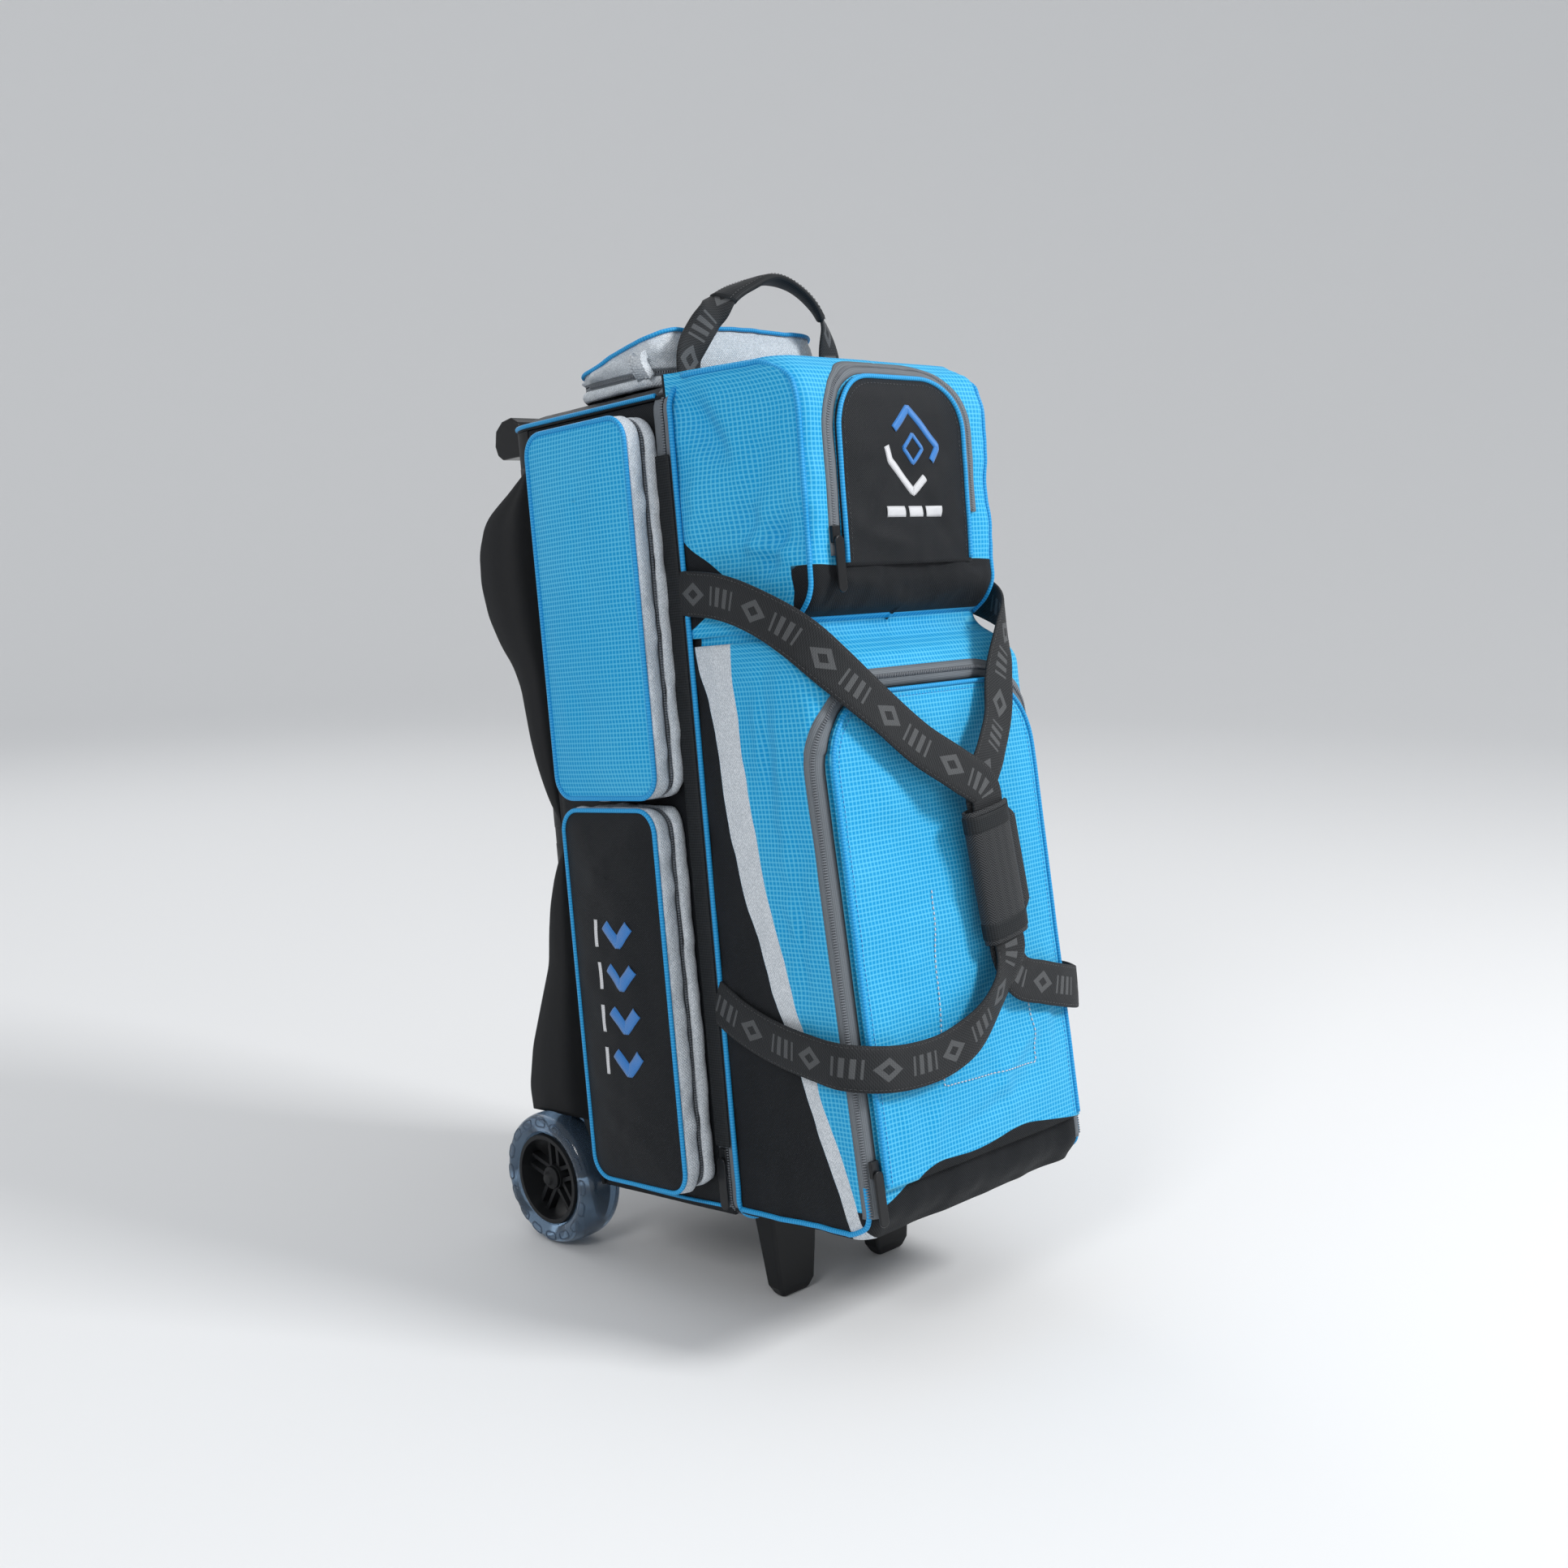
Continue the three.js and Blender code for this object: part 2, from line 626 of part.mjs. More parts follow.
function makeTopPocket() {
  const base = bodyHeight + topCrown + 2 * gap;
  const { left, right, front, back, trayHeight, lidFront, lidBack } = topPocket;
  const outline = (inset, Kind) => roundedRectangle(left + inset, right - inset, front + inset, back - inset, 24 - inset, Kind);
  const gusset = outline(0);
  gusset.holes.push(outline(pocketWall, THREE.Path));
  add("top_pocket", "silverFabric", extrudeZ(gusset, base, base + trayHeight));

  const lidBase = base + trayHeight + gap;
  const wedge = (inset) => extrudeX(
    shapeFrom([
      [front - 5, lidBase - 5], [back + 5, lidBase - 5],
      [back + 5, lidBase + lidBack - inset], [front - 5, lidBase + lidFront - inset],
    ]), left - 5, right + 5);
  const outside = toSolid(extrudeZ(outline(0), lidBase, lidBase + lidFront + 10)).intersect(toSolid(wedge(0)));
  const inside = toSolid(extrudeZ(outline(pocketWall), lidBase - 5, lidBase + lidFront + 10))
    .intersect(toSolid(wedge(pocketFace)));
  add("top_pocket_lid", "silverFabric", toGeometry(outside.subtract(inside)));
}

function makeLoopHandle() {
  const base = bodyHeight + topCrown + 2 * gap + 1;
  const { leftX, rightX, y, peak, width, thickness } = loop;
  const middle = (leftX + rightX) / 2;
  const stops = [
    [[leftX, y, base + 3], [0, -1, 0]],
    [[leftX + 3, y, base + peak * 0.24], [0, -1, 0]],
    [[leftX + 30, y, base + peak * 0.58], [-0.4, -0.8, 0.3]],
    [[leftX + 60, y, base + peak * 0.88], [-0.2, -0.3, 0.9]],
    [[middle + 18, y, base + peak], [0, 0, 1]],
    [[rightX - 30, y, base + peak * 0.86], [0.2, -0.3, 0.9]],
    [[rightX - 6, y, base + peak * 0.6], [0.4, -0.8, 0.3]],
    [[rightX, y, base + peak * 0.3], [0, -1, 0]],
    [[rightX, y, base + 3], [0, -1, 0]],
  ];
  add("loop_handle", "webbing", strip(stops, flatProfile(width, thickness), 32));
}

// ---- the door: the two front compartments ----

// Outline of a compartment at one height, drawn from the back left corner.
function planAt(z, { back, backHalfWidth, front, frontHalfWidth, corner }) {
  const points = [new THREE.Vector3(-backHalfWidth, back, z), new THREE.Vector3(backHalfWidth, back, z)];
  for (let i = 0; i <= 5; i++) {
    const angle = (i / 5) * (Math.PI / 2);
    points.push(new THREE.Vector3(
      frontHalfWidth - corner + corner * Math.cos(angle), front + corner - corner * Math.sin(angle), z));
  }
  for (let i = 5; i >= 0; i--) {
    const angle = (i / 5) * (Math.PI / 2);
    points.push(new THREE.Vector3(
      -frontHalfWidth + corner - corner * Math.cos(angle), front + corner - corner * Math.sin(angle), z));
  }
  return points;
}

function compartment(levels, inset) {
  const outlines = levels.map(({ z, front, frontHalfWidth, corner }, i) => {
    const lift = i === 0 ? inset : i === levels.length - 1 ? -inset : 0;
    return planAt(z + lift, {
      back: seamY - gap - inset,
      backHalfWidth: bodyHalfWidth - inset,
      front: front + inset,
      frontHalfWidth: frontHalfWidth - inset,
      corner: corner - inset * 0.5,
    });
  });
  return loft(outlines, outlines[0].map((p) => new THREE.Vector2(p.x, p.y)));
}

function lowerFrontAt(z) {
  const share = (z - lowerBox.bottom - 16) / (lowerBox.shoulder - lowerBox.bottom - 16);
  return THREE.MathUtils.lerp(lowerBox.frontLow, lowerBox.frontHigh, share);
}

const lowerFrontLean = Math.atan(
  (lowerBox.frontHigh - lowerBox.frontLow) / (lowerBox.shoulder - lowerBox.bottom - 16)
);

// Tips an upright panel drawn at y = 0 onto the lower compartment's sloping front.
function onLowerFront(geometry, proud) {
  const middle = (lowerFlap.bottom + lowerFlap.top) / 2;
  return geometry
    .translate(0, 0, -middle)
    .rotateX(-lowerFrontLean)
    .translate(0, lowerFrontAt(middle) - proud, middle);
}

function makeDoor() {
  const { bottom, top, front, frontHalfWidth, corner } = upperBox;
  const upperLevels = [
    { z: bottom, front: front + 38, frontHalfWidth: frontHalfWidth + 6, corner },
    { z: bottom + 14, front: front + 14, frontHalfWidth: frontHalfWidth + 3, corner },
    { z: bottom + 30, front, frontHalfWidth, corner },
    { z: top - 16, front, frontHalfWidth, corner },
    { z: top - 4, front: front + 8, frontHalfWidth: frontHalfWidth - 2, corner },
    { z: top, front: front + 22, frontHalfWidth: frontHalfWidth - 6, corner },
  ];
  const upperHole = extrudeY(archShape({
    halfWidth: upperFlap.halfWidth - flapOverlap,
    bottom: upperFlap.bottom + flapOverlap,
    top: upperFlap.top - flapOverlap,
    corner: upperFlap.corner - flapOverlap,
  }), front - 10, front + 10);
  add("upper_compartment", "blueCheck", cut(compartment(upperLevels, 0), compartment(upperLevels, fabric), upperHole));
  add("upper_flap", "blackFabric",
    extrudeY(archShape(upperFlap), front - gap - upperFlap.thickness, front - gap));

  const low = lowerBox;
  const lowerLevels = [
    { z: low.bottom, front: low.frontLow + 14, frontHalfWidth: bodyHalfWidth, corner: low.corner },
    { z: low.bottom + 16, front: low.frontLow, frontHalfWidth: low.halfWidth, corner: low.corner },
    { z: low.shoulder, front: low.frontHigh, frontHalfWidth: low.halfWidth - 2, corner: low.corner },
    { z: low.shoulder + 20, front: low.frontHigh + 16, frontHalfWidth: bodyHalfWidth - 4, corner: low.corner },
    { z: low.top, front: low.frontHigh + 38, frontHalfWidth: bodyHalfWidth - 8, corner: low.corner },
  ];
  const lowerHole = onLowerFront(extrudeY(archShape({
    halfWidth: lowerFlap.halfWidth - flapOverlap,
    bottom: lowerFlap.bottom + flapOverlap,
    top: lowerFlap.top - flapOverlap,
    corner: lowerFlap.corner - flapOverlap,
  }), -10, 10), 0);
  add("lower_compartment", "blueCheck", cut(compartment(lowerLevels, 0), compartment(lowerLevels, fabric), lowerHole));
  add("lower_flap", "blueCheck", onLowerFront(extrudeY(archShape(lowerFlap), 0, lowerFlap.thickness),
    lowerFlap.thickness + gap));
}

// ---- carry straps ----

function makeStraps() {
  const sideX = bodyHalfWidth + 3.5;
  const frontLayer = wrap.y - webbing.thickness;
  const backLayer = wrap.y + webbing.thickness;
  const insideWrap = (y) => [0, 0.15, 0.85, 1].map((share) => [
    [THREE.MathUtils.lerp(wrap.topX, wrap.bottomX, share), y, THREE.MathUtils.lerp(wrap.top + 5, wrap.bottom - 5, share)],
    [0, -1, 0],
  ]);
  const left = [
    [[-sideX, -16, 538], [-1, 0, 0]],
    [[-sideX - 1, -60, 531], [-1, 0, 0]],
    [[-sideX - 1.5, -105, 515], [-1, -0.1, 0]],
    [[2 - bodyHalfWidth, -142, 492], [-0.8, -0.6, 0]],
    [[20 - bodyHalfWidth, -162, 465], [-0.4, -0.9, 0]],
    [[-82, -174, 430], [0, -1, 0]],
    [[-45, -182, 397], [0, -1, 0]],
    [[-14, -192, 374], [0, -1, 0]],
    ...insideWrap(frontLayer),
    [[18, -194, 186], [0, -1, 0]],
    [[-14, -194, 158], [0, -1, 0]],
    [[-52, -193, 144], [0, -1, 0]],
    [[-96, -191, 142], [0, -1, 0]],
    [[8 - bodyHalfWidth, -185, 146], [-0.3, -0.95, 0]],
    [[-sideX - 10.5, -165, 151], [-0.8, -0.6, 0]],
    [[-sideX - 9.5, -130, 155], [-1, 0, 0]],
    [[-sideX - 5, -85, 162], [-1, 0, 0]],
    [[-sideX - 3, -45, 175], [-1, 0, 0]],
    [[-sideX, -16, 191], [-1, 0, 0]],
  ];
  const right = [
    [[sideX, -16, 538], [1, 0, 0]],
    [[sideX + 1, -60, 531], [1, 0, 0]],
    [[sideX, -102, 518], [1, -0.1, 0]],
    [[bodyHalfWidth - 10, -138, 500], [0.7, -0.7, 0]],
    [[bodyHalfWidth - 34, -156, 478], [0.3, -0.95, 0]],
    [[82, -166, 446], [0, -1, 0]],
    [[66, -174, 412], [0, -1, 0]],
    [[40, -185, 384], [0, -1, 0]],
    ...insideWrap(backLayer),
    [[50, -190, 188], [0, -1, 0]],
    [[84, -189, 176], [0, -1, 0]],
    [[bodyHalfWidth - 23, -187, 167], [0.2, -0.98, 0]],
    [[bodyHalfWidth + 6, -178, 160], [0.6, -0.8, 0]],
    [[sideX + 15.5, -158, 160], [1, 0, 0]],
    [[sideX + 11.5, -110, 165], [1, 0, 0]],
    [[sideX + 5, -60, 178], [1, 0, 0]],
    [[sideX, -16, 191], [1, 0, 0]],
  ];
  const profile = flatProfile(webbing.width, webbing.thickness);
  add("carry_strap_left", "webbing", strip(left, profile, 64));
  add("carry_strap_right", "webbing", strip(right, profile, 64));

  const [w, d, t] = [wrap.width / 2, wrap.depth / 2, wrap.wall];
  const sleeve = [
    [-w, -d], [w + wrap.tail, -d], [w + wrap.tail, -d + t], [-w + t, -d + t], [-w + t, d - t], [w * 0.4, d - t],
    [w * 0.4, d], [-w, d],
  ];
  const middle = [(wrap.topX + wrap.bottomX) / 2, (wrap.top + wrap.bottom) / 2];
  const stops = [
    [[wrap.topX, wrap.y, wrap.top - 8], [0, 1, 0]],
    [[middle[0], wrap.y, middle[1]], [0, 1, 0]],
    [[wrap.bottomX, wrap.y, wrap.bottom + 8], [0, 1, 0]],
  ];
  add("grip_wrap", "blackFabric", strip(stops, sleeve.map(([u, v]) => [-u, v]), 2));
}

// ---- zip sliders and pulls ----

// A slider and its hanging pull, drawn against a wall that looks along -y with its face at y = 0.
function zipPair(name, place) {
  const body = box(-slider.width / 2, slider.width / 2, -slider.height, 0, 0, slider.length);
  const out = slider.height + pull.clearance;
  const handle = extrudeY(
    roundedRectangle(-pull.width / 2, pull.width / 2, 6 - pull.length, 6, pull.width / 2),
    -out - pull.thickness, -out
  );
  add(`${name}_slider`, "zipMetal", place(body));
  add(`${name}_pull`, "zipMetal", place(handle));
}

function makeZips() {
  const leftWall = bodyHalfWidth + gap;
  zipPair("main_zip", (g) => g.rotateZ(-Math.PI / 2).translate(-leftWall - 0.4, seamY + 5, 46));
  zipPair("upper_zip", (g) => g.translate(-upperFlap.halfWidth - 9, upperBox.front - gap, 566));
  zipPair("lower_zip", (g) => g.rotateX(-lowerFrontLean).translate(
    -lowerFlap.halfWidth - slider.width / 2 - 1, lowerFrontAt(58) - gap, 58));
}

makeBody();
makeSkids();
makeBallCups();
makeFeet();
makeWheels();
makeHandle();
makeSidePockets();
makeTopPocket();
makeLoopHandle();
makeDoor();
makeStraps();
makeZips();

// ---- lean the bag back and stand it on the ground ----

bag.rotation.x = -THREE.MathUtils.degToRad(leanDegrees);
bag.updateMatrixWorld(true);
const bounds = new THREE.Box3().setFromObject(bag, true);
bag.position.set(-(bounds.min.x + bounds.max.x) / 2, -(bounds.min.y + bounds.max.y) / 2, -bounds.min.z);

const bowlingBag = new THREE.Group();
bowlingBag.add(bag);
bowlingBag.updateMatrixWorld(true);

export default bowlingBag;
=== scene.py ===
import json
import math

import bmesh
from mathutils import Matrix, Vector
import bpy
import numpy as np

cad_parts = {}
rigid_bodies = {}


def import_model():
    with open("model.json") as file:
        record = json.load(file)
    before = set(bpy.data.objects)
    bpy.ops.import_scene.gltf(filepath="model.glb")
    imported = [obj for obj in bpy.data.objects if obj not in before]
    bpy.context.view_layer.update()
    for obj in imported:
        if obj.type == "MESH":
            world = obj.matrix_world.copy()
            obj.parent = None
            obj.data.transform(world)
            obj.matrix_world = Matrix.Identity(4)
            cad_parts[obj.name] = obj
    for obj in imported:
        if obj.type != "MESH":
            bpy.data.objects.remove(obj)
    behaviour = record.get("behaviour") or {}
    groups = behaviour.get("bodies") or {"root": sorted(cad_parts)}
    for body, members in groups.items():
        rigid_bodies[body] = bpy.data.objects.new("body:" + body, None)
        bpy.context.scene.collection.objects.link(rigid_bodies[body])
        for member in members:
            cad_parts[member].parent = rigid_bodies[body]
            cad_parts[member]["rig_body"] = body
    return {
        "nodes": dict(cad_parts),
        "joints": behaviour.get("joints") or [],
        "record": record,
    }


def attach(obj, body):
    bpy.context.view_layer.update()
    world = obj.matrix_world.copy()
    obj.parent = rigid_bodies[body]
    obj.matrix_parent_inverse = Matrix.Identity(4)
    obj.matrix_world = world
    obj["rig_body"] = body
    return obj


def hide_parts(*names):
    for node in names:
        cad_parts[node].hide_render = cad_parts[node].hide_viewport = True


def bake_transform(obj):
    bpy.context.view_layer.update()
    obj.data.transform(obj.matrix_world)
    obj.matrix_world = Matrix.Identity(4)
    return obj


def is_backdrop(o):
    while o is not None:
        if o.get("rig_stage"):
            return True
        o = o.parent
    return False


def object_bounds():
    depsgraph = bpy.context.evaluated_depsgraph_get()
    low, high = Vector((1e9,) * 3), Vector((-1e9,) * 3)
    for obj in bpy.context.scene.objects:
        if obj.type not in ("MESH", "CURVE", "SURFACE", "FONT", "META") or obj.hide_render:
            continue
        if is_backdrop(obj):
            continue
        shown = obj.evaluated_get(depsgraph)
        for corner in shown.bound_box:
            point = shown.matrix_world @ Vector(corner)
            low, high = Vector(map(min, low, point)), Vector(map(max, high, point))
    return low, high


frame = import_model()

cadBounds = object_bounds()
joints = {joint["name"]: joint for joint in frame["joints"]}

# The bag's own frame: x across, y to the back, z up along the leaning body, in millimetres.
# Its zero is the bottom edge of the front seam.
axlePlace = np.array([131.0, 244.0, -2.3])
bagUp = np.array(joints["handle_lower_stage"]["axis"], float)
bagUp /= np.linalg.norm(bagUp)
bagAxes = np.array([[1.0, 0.0, 0.0], np.cross(bagUp, [1.0, 0.0, 0.0]), bagUp])
bagOrigin = np.array(joints["wheel_right_spin"]["pos_m"]) - axlePlace @ bagAxes / 1000

seamY = -8.0
shell = {"halfWidth": 138, "back": 226, "corner": 45}
sides = {"left": -1, "right": 1}


def toRow(points):
    return bagOrigin + np.asarray(points, float) @ bagAxes / 1000


def smoothStep(low, high, value):
    share = np.clip((value - low) / (high - low), 0, 1)
    return share * share * (3 - 2 * share)


# The camera comes first, with the plain floor and the lights.
view = {"place": (-1.1647, -1.1885, 0.7152), "target": (0.0, -0.0439, 0.4419), "lens": 41.9,
        "shift": (-0.0148, 0.0076)}
studio = {
    "floor": (0.80, 0.805, 0.81), "world": 0.60, "flat": 4.2, "rise": 3.2, "spokes": 96,
    "lamps": [
        {"name": "keyLamp", "place": (1.3, -2.7, 2.7), "size": 0.9, "power": 100},
        {"name": "sideLamp", "place": (-2.9, -1.1, 2.5), "size": 0.9, "power": 28},
        {"name": "backLamp", "place": (0.6, 2.8, 2.4), "size": 2.2, "power": 16},
    ],
}


def aimed(thing, target):
    thing.rotation_euler = (Vector(target) - thing.location).to_track_quat("-Z", "Y").to_euler()


def makeStudio():
    scene = bpy.context.scene
    lensData = bpy.data.cameras.new("mainCamera")
    lensData.lens = view["lens"]
    lensData.sensor_width = 36
    lensData.shift_x, lensData.shift_y = view["shift"]
    camera = bpy.data.objects.new("mainCamera", lensData)
    scene.collection.objects.link(camera)
    camera.location = view["place"]
    aimed(camera, view["target"])
    scene.camera = camera
    for lamp in studio["lamps"]:
        light = bpy.data.lights.new(lamp["name"], "AREA")
        light.energy = lamp["power"]
        light.size = lamp["size"]
        holder = bpy.data.objects.new(lamp["name"], light)
        scene.collection.objects.link(holder)
        holder.location = lamp["place"]
        aimed(holder, (0, 0, 0.45))
    world = bpy.data.worlds.new("studioWorld")
    world.use_nodes = True
    background = world.node_tree.nodes["Background"]
    background.inputs["Color"].default_value = (0.95, 0.97, 1.0, 1)
    background.inputs["Strength"].default_value = studio["world"]
    scene.world = world
    scene.view_settings.view_transform = "Standard"
    # A flat round floor whose rim curves up, so no horizon shows from any side.
    mesh = bpy.data.meshes.new("studioFloor")
    rise = np.linspace(0, math.pi / 2, 16)[1:]
    rim = [(0.02, 0.0), (studio["flat"], 0.0)] + [
        (studio["flat"] + studio["rise"] * math.sin(a), studio["rise"] * (1 - math.cos(a))) for a in rise]
    spokes = studio["spokes"]
    turns = np.arange(spokes) / spokes * 2 * math.pi
    points = [(radius * math.cos(a), radius * math.sin(a), z) for radius, z in rim for a in turns]
    faces = [[k * spokes + i, (k + 1) * spokes + i, (k + 1) * spokes + (i + 1) % spokes,
              k * spokes + (i + 1) % spokes] for k in range(len(rim) - 1) for i in range(spokes)]
    mesh.from_pydata(points, [], faces + [list(range(spokes))])
    mesh.polygons.foreach_set("use_smooth", [True] * len(mesh.polygons))
    floor = bpy.data.objects.new("studioFloor", mesh)
    scene.collection.objects.link(floor)
    paint = bpy.data.materials.new("studioFloor")
    paint.use_nodes = True
    shader = paint.node_tree.nodes["Principled BSDF"]
    shader.inputs["Base Color"].default_value = (*studio["floor"], 1)
    shader.inputs["Roughness"].default_value = 0.9
    mesh.materials.append(paint)
    floor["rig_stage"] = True


makeStudio()
print("studio ready")


# Shader maths as plain expressions: each Value is one socket of a material's nodes.
class Value:
    def __init__(self, tree, socket=None):
        self.tree = tree
        self.socket = socket

    def plug(self, place, given):
        if isinstance(given, Value):
            self.tree.links.new(given.socket, place)
        else:
            place.default_value = given

    def maths(self, operation, *given, clamp=False):
        return self.node("ShaderNodeMath", {"operation": operation, "use_clamp": clamp},
                         dict(enumerate(given)))

    def node(self, kind, settings=None, inputs=None, output=0):
        made = self.tree.nodes.new(kind)
        for key, setting in (settings or {}).items():
            if key == "stops":
                ramp = made.color_ramp
                while len(ramp.elements) < len(setting):
                    ramp.elements.new(0.5)
                for element, (position, colour) in zip(ramp.elements, setting):
                    element.position = position
                    element.color = (*colour, 1)
            else:
                setattr(made, key, setting)
        for key, given in (inputs or {}).items():
            self.plug(made.inputs[key], given)
        return Value(self.tree, made.outputs[output])

    def mix(self, factor, first, second):
        return self.node("ShaderNodeMix", {"data_type": "RGBA"}, {0: factor, 6: first, 7: second}, 2)

    def clamped(self):
        return self.maths("ADD", self, 0.0, clamp=True)

    def __add__(self, other):
        return self.maths("ADD", self, other)

    __radd__ = __add__

    def __sub__(self, other):
        return self.maths("SUBTRACT", self, other)

    def __rsub__(self, other):
        return self.maths("SUBTRACT", other, self)

    def __mul__(self, other):
        return self.maths("MULTIPLY", self, other)

    __rmul__ = __mul__

    def __truediv__(self, other):
        return self.maths("DIVIDE", self, other)

    def __abs__(self):
        return self.maths("ABSOLUTE", self)

    def __gt__(self, other):
        return self.maths("GREATER_THAN", self, other)

    def __lt__(self, other):
        return self.maths("LESS_THAN", self, other)

    def __mod__(self, other):
        return self.maths("FLOORED_MODULO", self, other)

    def wave(self, pitch):
        return self.maths("COSINE", self * (2 * math.pi / pitch)) * 0.5 + 0.5

    def higher(self, other):
        return self.maths("MAXIMUM", self, other)


def solid(colour):
    return (*colour, 1)


def clothLines(start):
    # The cloth's own coordinates in millimetres, along and up the piece.
    spot = start.node("ShaderNodeUVMap", {"uv_map": "cloth"})
    return [spot.node("ShaderNodeSeparateXYZ", None, {0: spot}, k) * 1000 for k in (0, 1)]


def roughPatch(start, scale, detail=2.0):
    spot = start.node("ShaderNodeTexCoord", None, None, 3)
    return start.node("ShaderNodeTexNoise", None, {"Vector": spot, "Scale": scale, "Detail": detail})


def speckle(start, scale):
    spot = start.node("ShaderNodeTexCoord", None, None, 3)
    cells = start.node("ShaderNodeTexVoronoi", None, {"Vector": spot, "Scale": scale}, 1)
    return start.node("ShaderNodeSeparateXYZ", None, {0: cells}, 0)


def makeFinish(name, build):
    material = bpy.data.materials.new(name)
    material.use_nodes = True
    tree = material.node_tree
    shader = tree.nodes["Principled BSDF"]
    start = Value(tree)
    given = build(start)
    height, depth = given.pop("bump", (None, 0))
    for key, setting in given.items():
        start.plug(shader.inputs[key], setting)
    if height is not None:
        bump = start.node("ShaderNodeBump", None, {"Strength": 1.0, "Distance": depth, "Height": height})
        start.plug(shader.inputs["Normal"], bump)
    return material


cloth = {
    "checkPitch": 3.9, "checkBlue": (0.004, 0.285, 0.600), "checkPale": (0.17, 0.68, 0.90),
    "black": (0.0045, 0.0052, 0.0064), "blackThread": (0.018, 0.021, 0.025), "weavePitch": 2.1,
    "silver": (0.84, 0.88, 0.92), "silverDark": (0.46, 0.50, 0.54), "tape": (0.19, 0.21, 0.23),
    "webbingMark": (0.115, 0.12, 0.125),
}


def checkLook(start, u, v):
    lineU, lineV = [(line.wave(cloth["checkPitch"]) * 1.9 - 0.95).clamped() for line in (u, v)]
    grid = lineU.higher(lineV) * 0.46 + (lineU * lineV) * 0.22
    tone = roughPatch(start, 9.0) * 0.34 - 0.17
    colour = start.mix((grid + tone * 0.6).clamped(), solid(cloth["checkBlue"]), solid(cloth["checkPale"]))
    return colour, grid


def blackLook(start, u, v):
    weave = u.wave(cloth["weavePitch"]) * v.wave(cloth["weavePitch"])
    shifted = (u + cloth["weavePitch"] / 2).wave(cloth["weavePitch"]) * (v + cloth["weavePitch"] / 2).wave(
        cloth["weavePitch"])
    dots = weave.higher(shifted)
    return start.mix((dots * 0.8).clamped(), solid(cloth["black"]), solid(cloth["blackThread"])), dots


def silverLook(start, u, v):
    twill = (u + v).wave(2.6) * (u - v).wave(2.6)
    # Painted glints: random bright specks in the base colour stand in for light sparkling off the silver
    # threads.
    paintedGlint = speckle(start, 900.0)
    share = (twill * 0.55 + paintedGlint * 0.55 - 0.1).clamped()
    return start.mix(share, solid(cloth["silverDark"]), solid(cloth["silver"])), twill


def zone(start, name):
    spot = start.node("ShaderNodeAttribute", {"attribute_name": name}, None, 2)
    return (spot * 1.6 + 0.5).clamped()


def buildCover(start):
    # Blue check with black and silver panels, whose edges the mesh carries as signed distances.
    u, v = clothLines(start)
    check, grid = checkLook(start, u, v)
    black, dots = blackLook(start, u, v)
    silver, twill = silverLook(start, u, v)
    blackShare, silverShare = zone(start, "blackZone"), zone(start, "silverZone")
    colour = start.mix(silverShare, start.mix(blackShare, check, black), silver)
    height = grid * (1 - blackShare) * 0.8 + dots * blackShare + twill * silverShare
    return {"Base Color": colour, "Roughness": 0.62 + blackShare * 0.1 - silverShare * 0.15,
            "Specular IOR Level": 0.16, "Sheen Weight": 0.03, "bump": (height, 0.00025)}


def buildCheck(start):
    u, v = clothLines(start)
    colour, grid = checkLook(start, u, v)
    return {"Base Color": colour, "Roughness": 0.62 - grid * 0.1, "Specular IOR Level": 0.16,
            "Sheen Weight": 0.03, "bump": (grid, 0.00022)}


def buildBlack(start):
    u, v = clothLines(start)
    colour, dots = blackLook(start, u, v)
    return {"Base Color": colour, "Roughness": 0.58 - dots * 0.15, "Specular IOR Level": 0.15,
            "Sheen Weight": 0.02, "bump": (dots, 0.00022)}


def buildSilver(start):
    u, v = clothLines(start)
    colour, twill = silverLook(start, u, v)
    return {"Base Color": colour, "Roughness": 0.48 - twill * 0.12, "Metallic": twill * 0.25,
            "Specular IOR Level": 0.35, "bump": (twill, 0.00035)}


def buildTape(start):
    u, v = clothLines(start)
    ribs = u.wave(1.4) * 0.6 + v.wave(0.9) * 0.4
    colour = start.mix(ribs, solid((0.11, 0.123, 0.137)), solid(cloth["tape"]))
    return {"Base Color": colour, "Roughness": 0.75 - ribs * 0.1, "Specular IOR Level": 0.25,
            "bump": (ribs, 0.00015)}


def buildWebbing(start):
    # Ribs across the strap and a woven row of generic diamonds and dashes.
    u, v = clothLines(start)
    ribs = v.wave(1.5) * 0.55 + (u + v).wave(3.0) * 0.45
    step = v % 74.0
    diamond = 1 - (abs(step - 18.0) / 14.0 + abs(u) / 10.0)
    inner = 1 - (abs(step - 18.0) / 6.0 + abs(u) / 4.3)
    bars = (step > 39.0) * (step < 66.0) * ((step - 39.0).wave(9.0) > 0.45) * (abs(u) < 8.0)
    mark = ((diamond > 0.0) * (1 - (inner > 0.0))).higher(bars)
    thread = (u.wave(1.7) * v.wave(1.9) > 0.22)
    share = mark * (thread * 0.15 + 0.6)
    base = start.mix(ribs, solid((0.010, 0.011, 0.012)), solid((0.032, 0.034, 0.037)))
    colour = start.mix(share.clamped(), base, solid(cloth["webbingMark"]))
    return {"Base Color": colour, "Roughness": 0.74 - ribs * 0.12, "Specular IOR Level": 0.2,
            "Sheen Weight": 0.03, "bump": (ribs, 0.0003)}


def buildBand(start):
    u, v = clothLines(start)
    ribs = u.wave(1.6) * 0.5 + v.wave(2.2) * 0.5
    colour = start.mix(ribs, solid((0.006, 0.007, 0.008)), solid((0.026, 0.029, 0.032)))
    return {"Base Color": colour, "Roughness": 0.7 - ribs * 0.15, "Specular IOR Level": 0.2,
            "bump": (ribs, 0.0002)}


